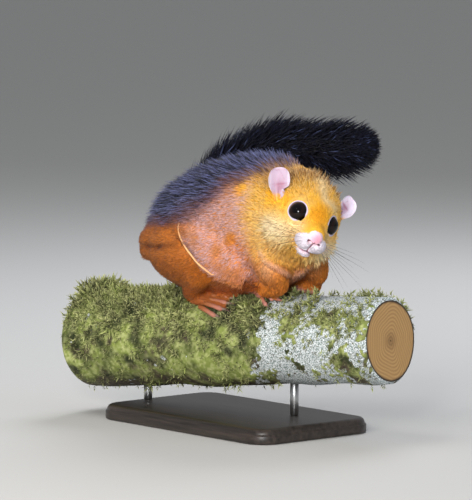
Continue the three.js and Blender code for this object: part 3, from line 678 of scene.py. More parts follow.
def headOutward(points):  # the way the distance grows
    step = 0.3
    slope = [outsideHead(points + step * axis) - outsideHead(points - step * axis) for axis in np.eye(3)]
    return unit(np.stack(slope, axis=1))


def onHead(directions):  # where rays from inside the head meet the surface, by halving
    low, high = np.full(len(directions), 4.0), np.full(len(directions), 75.0)
    for _ in range(22):
        middle = (low + high) / 2
        beyond = outsideHead(insideHead + middle[:, None] * directions) > 0
        high = np.where(beyond, middle, high)
        low = np.where(beyond, low, middle)
    return insideHead + low[:, None] * directions


eyes = {
    "radius": 9.5,
    "centre": (8, 15.4, 4),
    "axis": (0.69, 0.67, 0.28),
    "corner": np.array([1, 0, -0.42]),  # the way to the front corner of the lids
    "sides": 72,
    "lid": [  # the lid's profile: radius and height on the eye's axis
        *((11.8, -2.5), (11.6, 0.8), (11.1, 2.7), (10.5, 3.8), (9.9, 4.45)),
        *((9.4, 4.75), (9.0, 4.85), (8.7, 4.78), (8.5, 4.55), (8.35, 4.0)),
    ],
}


def eyeFrame(side):  # centre, the way it looks, the way to its front corner, and up
    centre, axis = mirrored(eyes["centre"], side), unit(mirrored(eyes["axis"], side))
    forward = unit(eyes["corner"] - axis * dot(eyes["corner"], axis))
    return centre, axis, forward, unit(np.cross(axis, forward)) * side


def fromEye(points, side):  # distance from the eye's axis, and height along it
    centre, axis = eyeFrame(side)[:2]
    away = points - centre
    height = away @ axis
    return np.linalg.norm(away - height[:, None] * axis, axis=1), height


face = {
    "nostril": [(38.4, 1.2, -16.0), (38.5, 2.8, -15.6), (37.3, 4.6, -14.8), (35.6, 6.0, -14.4)],
    "seam": [(38, 0, -14.5), (36.5, 0, -18), (33.5, 0, -22), (30.5, 0, -25)],
    "mouth": [(14, -13.5, -25), (18.5, -12, -26), (24, -8.8, -26.6), (28.5, -4.5, -25.9), (30.2, 0, -24.8)],
    "stripe": [(-14, 0, 33), (0, 0, 27), (8, 4, 21.5), (5, 14, 18)],  # pale hair over the crown and brow
}


def onSkinPath(places):
    return onHead(unit(np.array(places, float) - insideHead))


def faceDetail(points):
    # How far the face stands out or sinks, mm: the nose pad, nostrils, seam, lips and whisker pads
    x, y, z = points.T
    total = np.zeros(len(points))
    for side in (-1, 1):
        away, share = fromPolyline(points, onSkinPath(mirrored(face["nostril"], side)))
        wide = 0.6 + 0.55 * np.sin(np.clip(share, 0, 1) * math.pi)
        total -= 2.6 * np.exp(-((away / wide) ** 2))
        total += 0.4 * np.exp(-(((away - 1.8) / 0.8) ** 2)) * smoothStep(-15.5, -13.5, z)
    mouth, seam = faceLines(points)[:2]
    total -= 1.2 * np.exp(-((seam / 0.7) ** 2)) + 2.4 * np.exp(-((mouth / 1.0) ** 2))
    lip = np.exp(-(((z + 28.0 + 0.01 * y**2) / 1.3) ** 2)) * smoothStep(21, 26, x) * smoothStep(7, 3, abs(y))
    chin = np.exp(-(((z + 30.5) / 3.0) ** 2)) * smoothStep(16, 22, x) * smoothStep(9, 4, abs(y))
    return total + 0.5 * lip + 1.6 * chin


def nosePad(points):  # 1 on the bare pad of the nose
    wide = smoothStep(7.4, 6.4, np.abs(points[:, 1]) + 0.25 * np.maximum(-10.5 - points[:, 2], 0))
    high = smoothStep(-2.6, -4.0, points[:, 2]) * smoothStep(-19.2, -17.6, points[:, 2])
    return wide * high * smoothStep(33.0, 34.2, points[:, 0] + 0.12 * np.abs(points[:, 1]))


def headInset(points):  # the depth of fur over the skin of the head, mm
    x, y, z = points.T
    depth = 0.15 + 1.1 * smoothStep(31, 21, x) + 0.9 * smoothStep(14, 2, x) + 1.9 * smoothStep(0, -22, x)
    cheeks = smoothStep(-2, -20, z) * smoothStep(24, 8, x) * smoothStep(6, 16, np.abs(y))
    depth += 1.8 * cheeks + 1.2 * smoothStep(-18, -30, z) * smoothStep(26, 14, x)
    for side in (-1, 1):
        ring, height = fromEye(points, side)
        near = smoothStep(15, 10.5, ring) * (height > -4)
        depth = depth * (1 - near) + 0.5 * near + 2.6 * smoothStep(11.6, 10.3, ring) * (height > -4)
    return depth


def distanceTo(places, points):  # from each place to the nearest of a few points, in blocks
    away = []
    for start in range(0, len(places), 4000):
        block = places[start : start + 4000]
        squares = (block**2).sum(axis=1)[:, None] + (points**2).sum(axis=1) - 2 * block @ points.T
        away.append(np.sqrt(np.maximum(squares.min(axis=1), 0)))
    return np.concatenate(away)


def headSkin(meeting):
    # Rings of rays from inside the head, closest together at the nose, where the pole lies. The
    # crease where the neck meets the head is filled from both sides: raise = 3.4 * (1 - away / 16)^2
    rings, rounds = 240, 190
    pole, side = unit([1, 0, -0.07]), np.array([0, 1.0, 0])
    rise = np.cross(pole, side)
    share = np.linspace(0, 1, rings)
    polar = (share * 0.35 + 0.65 * share**2) * math.radians(172) + math.radians(0.25)
    polar, angle = np.repeat(polar, rounds)[:, None], np.tile(ringAngles(rounds), rings)[:, None]
    ways = np.cos(polar) * pole + np.sin(polar) * np.cos(angle) * side + np.sin(polar) * np.sin(angle) * rise
    surface = onHead(ways)
    filling = 3.4 * (np.maximum(16 - distanceTo(surface, rowToHead(meeting)), 0) / 16) ** 2
    points = surface + headOutward(surface) * (faceDetail(surface) - headInset(surface) + filling)[:, None]
    faces = orient(points, gridFaces(rings, rounds), insideHead)
    return points, faces, endCaps(rings, rounds)[:, ::-1], surface


def orient(points, faces, inside):  # turns every face the same way if most look at the point inside
    corner = points[faces]
    normal = np.cross(corner[:, 2] - corner[:, 0], corner[:, 1] - corner[:, 0])
    outward = dot(normal, inside - corner[:, 0]).sum()
    return faces if outward > 0 else faces[:, ::-1]


def lidRing(side):
    # A profile carried round the eye's axis and drawn out to a corner at the front and back
    sides = eyes["sides"]
    radius, height = np.repeat(np.array(eyes["lid"]), sides, axis=0).T
    angle = np.tile(ringAngles(sides), len(eyes["lid"]))
    corner = 0.4 * np.maximum(np.cos(angle + 0.1), 0) ** 16 + 0.03 * np.maximum(-np.cos(angle), 0) ** 8
    corner = (corner - 0.02 * np.sin(angle) ** 2) * smoothStep(14, 8.6, radius)
    centre, axis, forward, upward = eyeFrame(side)
    reach = radius * (1 + corner)
    points = centre + (height - 3.3 * corner)[:, None] * axis
    points = points + (reach * np.cos(angle))[:, None] * forward + (reach * np.sin(angle))[:, None] * upward
    return points, orient(points, gridFaces(len(eyes["lid"]), sides), centre)


ears = {  # the right ear stands up and the left one is turned out
    "root": {-1: (-13.3, -29.6, 4.7), 1: (-14, 26.8, 10.3)},
    "along": {-1: (-0.25, -0.33, 0.9), 1: (-0.22, 0.42, 0.87)},
    "open": {-1: (0.9, -0.42, 0.1), 1: (0.98, 0.05, 0.1)},
    "length": {-1: 31, 1: 27},
    "width": {-1: 19.5, 1: 17.5},
    "widest": 0.6,
    "cup": 1.15,
}


def earFrame(side):
    along = unit(ears["along"][side])
    open_ = np.array(ears["open"][side], float)
    front = unit(open_ - dot(open_, along) * along)
    return np.array(ears["root"][side], float), along, front, np.cross(along, front)


def earShell(side):
    # A thin cupped leaf: across * reach * sin(bend) + front * (radius - reach * cos(bend)), where the
    # bend runs from edge to edge, and the wall is thick at the root and thin at the rim
    root, along, front, across = earFrame(side)
    steps, rounds = 44, 72
    share = np.sin(np.linspace(0, math.pi / 2, steps))[:, None]
    angle = ringAngles(rounds)[None, :]
    swell = 0.66 + 0.34 * smoothStep(0, ears["widest"], share)
    beyond = np.clip((share - ears["widest"]) / (1 - ears["widest"]), 0, 0.9999)
    half = ears["width"][side] / 2 * swell * (1 - beyond**2.5) ** 0.42
    wall = 0.42 + 1.1 * (1 - share) ** 2
    cup = ears["cup"] * (1 - 0.55 * share)
    bend = cup * np.cos(angle)
    radius = half / np.sin(cup)
    inner = smoothStep(0, -0.3, np.sin(angle))
    medial = -side * np.cos(angle)  # 1 at the edge towards the middle of the head, -1 at the outer edge
    towards, beyond = 0.42 + 0.58 * smoothStep(0.3, 0.47, share), 0.62 + 0.38 * smoothStep(0.0, 0.45, share)
    narrow = np.where(medial > 0, towards, beyond)
    ledge = 1.3 * np.exp(-(((share - 0.46 - 0.05 * medial) / 0.035) ** 2)) * smoothStep(-0.5, 0.3, medial)
    pleats = 0.35 * np.sin(share * 26 + 2.2 * medial) * smoothStep(0.5, 0.7, share) * (1 - share)
    rib = 1.1 * np.exp(-(((medial + 0.35 - 0.4 * share) / 0.16) ** 2)) * (1 - share)
    rim = 0.9 * smoothStep(0.82, 1.0, np.abs(np.cos(angle))) * smoothStep(0.3, 0.6, share)
    reach = radius + wall * np.sin(angle) - inner * (ledge + pleats + rib)
    middle = root + (ears["length"][side] * share)[..., None] * along + (-2.5 * share**2)[..., None] * front
    points = (
        middle
        + (reach * np.sin(bend) * narrow)[..., None] * across
        + (radius - reach * np.cos(bend) + rim)[..., None] * front
    )
    points = points.reshape(-1, 3)
    faces = orient(points, gridFaces(steps, rounds), points.mean(axis=0) - 3 * front)
    return points, faces, endCaps(steps, rounds)[:, ::-1]


def tragus(side):
    # The small flap before the ear's opening: a flattened cone, path + radius * ring
    root, along, front, across = earFrame(side)
    start = root + 4 * along + front * 3.5 - across * side * 3.5
    path = evenCurve([start - 2 * along, start + 3 * along, start + 7 * along + 0.6 * front], 12)
    radii = 2.6 * np.sqrt(np.clip(1 - np.linspace(0, 1, 12) ** 2.2, 0.0004, 1))
    return tubeAlong(path, radii, 16, upright=front, flatness=0.35), gridFaces(12, 16)


# The folds of the skin, and the coat of each node
folds = {
    # the rolled free edge of the gliding skin from flank to wrist, and the fold between neck and arm
    "edge": [
        *((-18, -53, 197), (-14, -55, 190), (1.5, -59, 171)),
        *((21.5, -59, 156), (34, -56, 147), (50, -49, 137)),
    ],
    "neck": [(76, -31, 171), (79.5, -30, 163), (86.5, -22, 156.5), (87, -12, 152), (83, -4, 148.5)],
    "haunch": [
        *((-92, -34, 166), (-65, -50, 166), (-38, -61, 168)),
        *((-27, -61, 170), (-19, -58, 171), (-10, -56, 174)),
    ],
}
coat = {
    # node: depth of the coat, tuft length, width and lift in degrees
    "rump": (2.6, 8, 0.95, 16),
    "chest": (2.2, 7, 0.9, 15),
    "neck": (3.2, 9, 0.95, 21),
    "thigh": (1.8, 6.5, 0.9, 14),
    "shank": (1.3, 5, 0.8, 14),
    "upper_arm": (1.6, 5.5, 0.85, 14),
    "forearm": (1.2, 4.5, 0.75, 14),
    "hand": (0.5, 2.2, 0.6, 13),
    "foot": (0.6, 2.6, 0.65, 13),
    "patagium": (0.9, 5.5, 0.85, 12),
    "tail_skin": (1.0, 6.5, 0.9, 14),
    "head": (5.5, 0, 0, 0),
}
backCoat = (6.5, 16, 1.15, 29)  # the same for the long dark hair of the back
flesh = ["head", "ear_right", "ear_left", "chest", "rump", "neck", "tail_1", "tail_2", "tail_3", "tail_4"]
for pairName in ("thigh", "shank", "upper_arm", "forearm", "hand", "foot", "patagium", "tail_skin"):
    flesh += [f"{pairName}_right", f"{pairName}_left"]


def kindOf(node):
    return node.replace("_right", "").replace("_left", "")


bodyNodes = [node for node in flesh if kindOf(node) in coat]


def nodeArrays(node):  # a copy of a node's mesh, merged, in mm
    shape = bmesh.new()
    shape.from_mesh(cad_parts[node].data)
    bmesh.ops.remove_doubles(shape, verts=shape.verts, dist=0.00001)
    bmesh.ops.triangulate(shape, faces=shape.faces)
    merged = bpy.data.meshes.new("merged")
    shape.to_mesh(merged)
    shape.free()
    arrays = meshArrays(merged, 3)
    bpy.data.meshes.remove(merged)
    return arrays


def meshArrays(mesh, corners):  # points in mm, and faces that all have this number of corners
    points = np.zeros(len(mesh.vertices) * 3, np.float32)
    mesh.vertices.foreach_get("co", points)
    faces = np.zeros(len(mesh.loops), np.int32)
    mesh.loops.foreach_get("vertex_index", faces)
    return points.reshape(-1, 3).astype(float) * 1000, faces.reshape(-1, corners)


def vertexNormals(points, faces):
    normals = np.zeros_like(points)
    corner = points[faces]
    area = np.cross(corner[:, 1] - corner[:, 0], corner[:, 2] - corner[:, 0])
    if faces.shape[1] == 4:
        area += np.cross(corner[:, 2] - corner[:, 0], corner[:, 3] - corner[:, 0])
    for column in range(faces.shape[1]):
        for axis in range(3):
            normals[:, axis] += np.bincount(faces[:, column], area[:, axis], len(points))
    return unit(normals)


def meshLinks(faces):
    links = np.concatenate([faces[:, [i, (i + 1) % faces.shape[1]]] for i in range(faces.shape[1])])
    return np.concatenate([links, links[:, ::-1]])


def spread(values, links, rounds):  # each value moves half way to the mean of its neighbours
    values = np.array(values, float)
    flat = values.reshape(len(values), -1)
    count = np.maximum(np.bincount(links[:, 0], minlength=len(values)), 1)
    for _ in range(rounds):
        for axis in range(flat.shape[1]):
            mean = np.bincount(links[:, 0], flat[links[:, 1], axis], len(values)) / count
            flat[:, axis] = 0.5 * flat[:, axis] + 0.5 * mean
    return flat.reshape(values.shape)


def nearestNode(points, samples, owners):  # which node each point lies nearest, in blocks
    answer = np.zeros(len(points), int)
    squares = (samples**2).sum(axis=1)
    for start in range(0, len(points), 4000):
        block = points[start : start + 4000]
        answer[start : start + 4000] = owners[np.argmin(squares - 2 * block @ samples.T, axis=1)]
    return answer


def remeshed(points, faces, size):  # one closed surface round them all, by a voxel remesh
    mesh = bpy.data.meshes.new("bodyBlank")
    mesh.from_pydata((points / 1000).tolist(), [], faces.tolist())
    blank = bpy.data.objects.new("bodyBlank", mesh)
    bpy.context.scene.collection.objects.link(blank)
    remesh = blank.modifiers.new("remesh", "REMESH")
    remesh.mode = "VOXEL"
    remesh.voxel_size = size / 1000
    whole = blank.evaluated_get(bpy.context.evaluated_depsgraph_get())
    arrays = meshArrays(whole.to_mesh(), 4)
    whole.to_mesh_clear()
    bpy.data.objects.remove(blank)
    bpy.data.meshes.remove(mesh)
    return arrays


def bodySkin():
    # The body's nodes, grown a little so that their meeting faces close, made one surface by a voxel
    # remesh, smoothed, and then sunk by the coat's depth
    grow, voxel = 0.5, 2.1
    parts = [nodeArrays(node) for node in bodyNodes]
    samples = [np.concatenate([points, points[faces].mean(axis=1)]) for points, faces in parts]
    samples = np.concatenate(samples)
    owners = np.repeat(np.arange(len(parts)), [len(points) + len(faces) for points, faces in parts])
    points, (faces,), _ = joined([(p + grow * vertexNormals(p, faces), p, faces) for p, faces in parts])
    points, faces = largestPart(*remeshed(points, faces, voxel))
    links = meshLinks(faces)
    node = nearestNode(points, samples, owners)
    kinds = np.array([kindOf(name) for name in bodyNodes])[node]
    small = np.isin(kinds, ["hand", "foot"])
    softened = spread(points, links, 5)
    points = np.where(small[:, None], spread(points, links, 2), softened)
    atTail = spread(np.isin(kinds, ["tail_skin"]).astype(float), links, 4)
    points = mixed(points, spread(softened, links, 14), atTail)
    normals = spread(vertexNormals(points, faces), links, 3)
    dark = smoothStep(-14, 5, backBorder(points)) * np.isin(kinds, ["rump", "chest", "neck", "thigh"])
    settings = mixed(np.array([coat[kind] for kind in kinds]), np.array(backCoat, float), dark)
    settings = spread(settings, links, 8)
    fromHead = np.abs(outsideHead(rowToHead(points)))
    nearHead = np.maximum(16 - fromHead, 0) / 16 * (kinds != "head")
    raised = spread(3.4 * nearHead**2 * smoothStep(158, 172, points[:, 2]), links, 3)
    sink = settings[:, 0] + grow - 0.2 + foldStep(points) - raised
    meeting = points[(fromHead < 1.6) & (kinds != "head") & (points[:, 2] > 166)]
    return points - unit(normals) * sink[:, None], faces, links, node, kinds, settings, meeting


def beyondFold(points):  # mm behind the free edge of the gliding skin, seen from the side
    line = np.array(folds["edge"], float)[::-1]
    return 0.75 * (np.interp(points[:, 2], line[:, 2], line[:, 0]) - points[:, 0])


def onFoldSide(points):  # 1 on the flanks, where the gliding skin lies folded
    high = smoothStep(199, 190, points[:, 2]) * smoothStep(130, 137, points[:, 2])
    return high * smoothStep(22, 34, np.abs(points[:, 1]))


def haunchGroove(points):  # 1 along the cleft between the thigh and the skin of the tail's root
    total = np.zeros(len(points))
    for side in (1, -1):
        away, share = fromPolyline(points, mirrored(folds["haunch"], side))
        total = np.maximum(total, np.exp(-((away / 3.8) ** 2)) * smoothStep(1.02, 0.9, share))
    return total


def neckFold(points):  # 1 along the fold that hangs between neck and arm, and 1 in the crease below
    ridge, crease = np.zeros(len(points)), np.zeros(len(points))
    for side in (1, -1):
        path = mirrored(folds["neck"], side)
        away, below = fromPolyline(points, path)[0], fromPolyline(points + (0, 0, 3.4), path)[0]
        ridge = np.maximum(ridge, np.exp(-((away / 2.4) ** 2)))
        crease = np.maximum(crease, np.exp(-((below / 1.6) ** 2)))
    return ridge, crease * (1 - ridge)


def foldStep(points):  # the body behind the fold lies lower, with a sharp step at the edge
    beyond = beyondFold(points)
    step = 1.8 * smoothStep(-0.8, 1.4, beyond) * smoothStep(26, 9, beyond) * onFoldSide(points)
    ridge, crease = neckFold(points)
    return step + 7.0 * haunchGroove(points) - 2.4 * ridge + 1.6 * crease


def largestPart(points, faces):  # keeps the largest joined surface
    label = np.arange(len(points))
    links = meshLinks(faces)
    while True:
        lowest = label.copy()
        np.minimum.at(lowest, links[:, 0], label[links[:, 1]])
        lowest = lowest[lowest]
        if (lowest == label).all():
            break
        label = lowest
    counts = np.bincount(label, minlength=len(points))
    keep = label == counts.argmax()
    number = np.cumsum(keep) - 1
    return points[keep], number[faces[keep[faces[:, 0]]]]


# Markings: one colour for a place, on skin and coat alike
coatTones = {
    "back": "#17182C",
    "backTip": "#8389BE",
    "border": "#563A46",
    "flankHigh": "#A8694A",
    "flank": "#D48A4A",
    # pale pinkish tips on the flank: painted sheen
    "flankTip": "#F2D6EA",
    "shoulder": "#E59A42",
    "elbow": "#E88620",
    "belly": "#B0581A",
    "neck": "#F6B52C",
    # pale golden tips on the neck: painted sheen
    "neckTip": "#FCE3AE",
    # the legs' and the thigh's deep orange, darkened in part as painted shade
    "leg": "#A4560F",
    "thigh": "#B0631A",
    "forearm": "#DE852E",
    "armPit": "#EDB282",
    "patagium": "#D58C58",
    "foldEdge": "#F3C795",
    "foldShade": "#8F4A1E",
    "neckFold": "#E4B096",
    # painted shade in the crease under the neck fold and in the haunch's cleft
    "crease": "#5A2A12",
    "throatFur": "#A4613F",
    "throatTip": "#DDAA94",
    "hand": "#B98176",
    "foot": "#94582F",
    "tail": "#08080C",
    "tailTip": "#1D2038",
    # pale bluish tips on a few tail tufts: painted glints of light
    "tailShine": "#56608A",
    "face": "#F9BC30",
    "forehead": "#F4A51C",
    "crown": "#8A5426",
    "crownTip": "#4C2E18",
    "crownPale": "#F4D8A4",
    "brow": "#F6D58E",
    "cheek": "#FFEAC6",
    "jaw": "#F2B452",
    "muzzle": "#E4DCE8",
    "nose": "#E59DB4",
    "noseEdge": "#E9CFDB",
    # a dark tone used as painted shade in the nostrils, seam, mouth and under the lids
    "nostril": "#5A1A30",
    "lip": "#CF8DA0",
    "throat": "#D98F3C",
    "lid": "#BEB4CC",
    # the near ear's tone, painted darker as shade, and the far ear's paler as painted light
    "ear": "#BAA5B8",
    "earFar": "#E6DAEE",
    # the darker pink of the hollow and veins, in the hollow and under the ledge partly painted shade
    "earInner": "#A5768A",
    "earRim": "#E0D6E4",
    "earRoot": "#EDB050",
}
tone = {name: hexToLinear(text) for name, text in coatTones.items()}


def filled(name, count):
    return np.tile(tone[name], (count, 1))


def layered(colours, layers):  # tones laid over one another, each by its own share
    for name, share in layers:
        colours = mixed(colours, tone[name], share)
    return colours


def patch(points, centre, reach):  # 1 at the centre of a soft patch on both sides, fading outwards
    places = np.column_stack([points[:, 0], np.abs(points[:, 1]), points[:, 2]])
    return np.exp(-((np.linalg.norm((places - centre) / np.array(reach, float), axis=1)) ** 2))


def throatTuft(points):  # 1 in the middle of the browner tuft of the throat, between the arms
    return np.exp(-(np.linalg.norm((points - (80, 10, 151)) / (13, 10, 8), axis=1) ** 2))


def backBorder(points):  # height over the perch where the dark back gives way to orange, by X
    height = np.interp(points[:, 0], [-120, -53, 8, 26, 58, 85, 110], [50, 71, 86, 100, 117, 133, 146])
    wobble = 5 * cellNoise(points, 24, 41) + 3 * cellNoise(points, 8, 42)
    return points[:, 2] - branch["perchHeight"] - height + wobble


def bodyColours(points, kinds):
    # Belly first and the dark back last; each line is a tone and where it lies
    x, _, z = points.T
    high, over, beyond = z - branch["perchHeight"], backBorder(points), beyondFold(points)
    shade = np.exp(-(((beyond + 6) / 3.0) ** 2)) * smoothStep(152, 166, z)
    legs, arms = np.isin(kinds, ["thigh", "shank"]), np.isin(kinds, ["forearm", "upper_arm"])
    layers = [
        ("flank", smoothStep(8, 46, high + 6 * cellNoise(points, 16, 43))),
        ("shoulder", smoothStep(20, 70, x) * smoothStep(30, 60, high)),
        ("flankHigh", 0.8 * smoothStep(-24, -8, over) * smoothStep(60, 20, x)),
        ("neck", smoothStep(50, 84, x + 0.35 * (high - 70)) * smoothStep(10, 50, high)),
        ("throat", smoothStep(78, 96, x) * smoothStep(62, 40, high)),
        ("elbow", 0.75 * patch(points, (52, 38, 170), (13, 30, 15))),
        # the lower legs darker, in part as painted shade
        ("leg", 0.75 * legs * smoothStep(44, 22, high)),
        ("forearm", 0.8 * arms * smoothStep(46, 26, high)),
        ("patagium", 0.6 * np.isin(kinds, ["patagium"])),
        ("flankHigh", 0.25 * np.isin(kinds, ["tail_skin"])),
        # the thigh behind the fold darker, in part as painted shade
        ("thigh", 0.8 * smoothStep(-0.5, 1.5, beyond) * onFoldSide(points)),
        ("foldShade", 0.55 * shade * onFoldSide(points)),
        ("hand", 0.8 * np.isin(kinds, ["hand"])),
        ("foot", 0.7 * np.isin(kinds, ["foot"])),
        ("border", 0.85 * smoothStep(-14, -3, over)),
    ]
    colours = layered(filled("belly", len(points)), layers)
    inHead = rowToHead(points)
    near = smoothStep(62, 44, np.linalg.norm(inHead - (-6, 0, -2), axis=1)) * smoothStep(154, 168, z)
    ridge, crease = neckFold(points)
    layers = [
        ("armPit", 0.7 * patch(points, (80, 30, 155), (7, 9, 8)) * smoothStep(166, 160, z)),
        ("throatFur", 0.9 * throatTuft(points)),
        ("neckFold", 0.8 * ridge),
        # painted shade in the crease under the neck fold and in the haunch's cleft
        ("crease", np.maximum(0.8 * crease, 0.85 * haunchGroove(points))),
        ("back", smoothStep(-6, 8, over)),
    ]
    return layered(mixed(colours, headColours(inHead), near), layers)


def faceLines(points):  # mm from the mouth, the seam and each nostril, along the head's surface
    mouth = np.vstack([face["mouth"], mirrored(face["mouth"][-2::-1], -1)])
    lines = [mouth, face["seam"], mirrored(face["nostril"], -1), mirrored(face["nostril"], 1)]
    return [fromPolyline(points, onSkinPath(line))[0] for line in lines]


def headColours(points):  # points in the head's frame, each line a tone and where it lies
    x, y, z = points.T
    side = np.abs(y)
    wobble = 1.6 * cellNoise(points, 7, 51)
    fuzz = 1.3 * cellNoise(points, 1.7, 52)
    brow = np.exp(-(((z - 16 + wobble) / 4) ** 2)) * smoothStep(-6, 4, x) * smoothStep(3, 9, side)
    edge = z + 6.0 + 0.5 * (37 - x) + 0.5 * wobble + 0.6 * fuzz
    muzzle = smoothStep(20.5, 24.5, x + 0.4 * wobble + fuzz) * smoothStep(1.4, -1.4, edge)
    chin = smoothStep(-22.5, -26, z) * smoothStep(8, 14, x + fuzz) * smoothStep(13, 9, side)
    stripe, _ = fromPolyline(points, np.array(face["stripe"], float))
    layers = [
        ("forehead", 0.75 * patch(points, (20, 0, 8), (13, 9, 11))),
        ("crown", 0.9 * smoothStep(8, -26, x + 2 * wobble) * smoothStep(6, 24, z + 0.2 * side)),
        ("neck", smoothStep(-8, -26, x) * smoothStep(14, 0, z)),
        ("brow", 0.3 * brow),
        ("jaw", smoothStep(-22, -32, z) * smoothStep(24, 12, x)),
        ("cheek", 0.9 * patch(points, (0, 24, -17), (26, 17, 11))),
        ("cheek", 0.6 * patch(points, (18, 15, -9), (9, 10, 8))),
        ("muzzle", np.maximum(muzzle, 0.95 * chin)),
        ("crownPale", 0.85 * np.exp(-((stripe / 5.5) ** 2))),
    ]
    for eyeSide in (-1, 1):
        ring, height = fromEye(points, eyeSide)
        layers.append(("brow", 0.35 * np.exp(-(((ring - 10.6) / 1.2) ** 2)) * (height > 0)))
    return layered(filled("face", len(points)), layers)


def bareHeadColours(points):
    # The bare parts over the fur's colours, and how bare each point is; painted shade under the lids and in
    # the nostrils, seam and mouth
    x, y, z = points.T
    colours = headColours(points)
    for side in (-1, 1):
        ring, height = fromEye(points, side)
        # painted shade on the skin under each lid
        colours = mixed(colours, tone["nostril"] * 0.15, smoothStep(11.9, 11.5, ring) * (height > -4))
    pad = nosePad(points)
    middle = np.exp(-(((y / 5.4) ** 2) + (((z + 10.5) / 4.6) ** 2)) ** 1.5)
    colours = mixed(colours, mixed(filled("noseEdge", len(points)), tone["nose"], middle), pad)
    mouth, seam, *nostrils = faceLines(points)
    lip = np.exp(-(((z + 27.4) / 1.2) ** 2)) * smoothStep(18, 23, x) * smoothStep(7.5, 4, np.abs(y))
    # dark lines in the nostrils, the seam and the mouth's gap: painted shade in the grooves
    layers = [("nostril", 0.95 * np.exp(-((away / 0.85) ** 4))) for away in nostrils]
    layers += [
        ("lip", 0.6 * np.exp(-((seam / 1.3) ** 2))),
        ("nostril", 0.75 * np.exp(-((seam / 0.7) ** 4))),
        ("lip", 0.5 * np.exp(-((mouth / 1.6) ** 2))),
        ("nostril", 0.9 * np.exp(-((mouth / 0.95) ** 4))),
        ("lip", 0.4 * lip),
    ]
    bare = np.maximum(np.maximum(pad, np.exp(-((mouth / 1.5) ** 2))), 0.8 * lip)
    return layered(colours, layers), bare


def skinMaterial():
    # Skin under short fur: matt and finely streaked, smoother and a little moist where it is bare
    settings = {"Roughness": 0.7, "IOR": 1.4, "Subsurface Weight": 0.12, "Subsurface Scale": 0.003}
    material, tree, shader, paint = paintedMaterial("furredSkin", settings)
    place = addNode(tree, "ShaderNodeTexCoord").outputs["Object"]
    grain = addNode(tree, "ShaderNodeTexNoise", {"Scale": 1500.0, "Detail": 3.0}, {"Vector": place})
    settings = {"Strength": 0.25, "Distance": 0.0003}
    bump = addNode(tree, "ShaderNodeBump", settings, {"Height": grain.outputs["Fac"]})
    settings = {"To Min": 0.42, "To Max": 0.75}
    gloss = addNode(tree, "ShaderNodeMapRange", settings, {"Value": paint.outputs["Alpha"]})
    tree.links.new(gloss.outputs[0], shader.inputs["Roughness"])
    tree.links.new(bump.outputs["Normal"], shader.inputs["Normal"])
    return material


def coatMaterial(name, roughness, sheen):
    # Hair: soft gloss along each tuft, with a faint pale sheen at grazing angles
    settings = {"Roughness": roughness, "IOR": 1.55, "Specular IOR Level": 0.18, "Sheen Weight": sheen}
    return paintedMaterial(name, settings)[0]


def spreadRoots(points, faces, normals, density, count, random):
    # Random places on the triangles, as many as their area and the density there ask
    if faces.shape[1] == 4:
        faces = np.concatenate([faces[:, [0, 1, 2]], faces[:, [0, 2, 3]]])
    corner = points[faces]
    area = np.linalg.norm(np.cross(corner[:, 1] - corner[:, 0], corner[:, 2] - corner[:, 0]), axis=1) / 2
    weight = area * density[faces].mean(axis=1)
    chosen = random.choice(len(faces), count, p=weight / weight.sum())
    share = random.random((count, 2))
    share = np.where(share.sum(axis=1, keepdims=True) > 1, 1 - share, share)
    weights = np.column_stack([1 - share.sum(axis=1), share])

    def at(values):
        return (values[faces[chosen]] * weights.reshape(count, 3, *([1] * (values.ndim - 1)))).sum(axis=1)

    return at(points), unit(at(normals)), at


def addTufts(name, tufts, material, segments):
    # Each tuft is a three-sided blade: its path leaves the skin at 1.5 times the lift and lies down to
    # half of it, its sides close to a point, and a slight bend carries it sideways
    root, normal, flow = tufts["root"], tufts["normal"], tufts["flow"]
    count = len(root)
    flow = unit(flow - dot(flow, normal)[:, None] * normal)
    side = np.cross(normal, flow)
    share = np.linspace(0, 1, segments + 1)
    first, change = 1.5 * tufts["lift"][:, None], -tufts["lift"][:, None]
    turn = first + change * share
    length = tufts["length"][:, None]
    along = (np.sin(turn) - np.sin(first)) / change * length
    rise = (np.cos(first) - np.cos(turn)) / change * length - tufts["sunk"]
    middle = root[:, None] + along[..., None] * flow[:, None] + rise[..., None] * normal[:, None]
    middle = middle + (tufts["bend"][:, None] * share**2 * length)[..., None] * side[:, None]
    width = tufts["width"][:, None] * (0.75 + 0.5 * share - 1.0 * share**2)
    body, tip = middle[:, :-1], middle[:, -1:]
    half = (width[:, :-1] / 2)[..., None] * side[:, None]
    thick = (width[:, :-1] * 0.4)[..., None] * normal[:, None]
    rings = np.stack([body - half, body + half, body + thick], axis=2).reshape(count, -1, 3)
    points = np.concatenate([rings, tip], axis=1).reshape(-1, 3)
    last = 3 * (segments - 1)
    triangles = [[0, 2, 1]] + [[last + corner, last + (corner + 1) % 3, 3 * segments] for corner in range(3)]
    size = 3 * segments + 1
    quads = gridFaces(segments, 3)
    faces = [repeated(quads, count, size), repeated(np.array(triangles), count, size)]
    place = np.concatenate([np.repeat(share[:-1], 3), [1.0]])
    colours = mixed(tufts["rootColour"][:, None], tufts["tipColour"][:, None], place)
    across = np.concatenate([np.tile([-1.0, 1.0, 0.0], segments), [0.0]])
    patch = np.stack([across * 0.0015, (place - 0.5) * 0.003], axis=-1)
    uv = np.clip(tufts["uv"][:, None] + patch, 0.0005, 0.9995).reshape(-1, 2)
    addMesh(name, points, faces, material, colours=colours.reshape(-1, 3), bakeUv=uv)
    return count * (len(quads) * 2 + len(triangles))


def addCoats(tufts, groups, material, segments):  # one mesh for each named part of the coat
    for name, chosen in groups:
        part = {}
        for key, value in tufts.items():
            part[key] = value[chosen] if isinstance(value, np.ndarray) else value
        triangles = addTufts(name, part, material, segments)
        print(name, chosen.sum(), "tufts", triangles, "triangles")


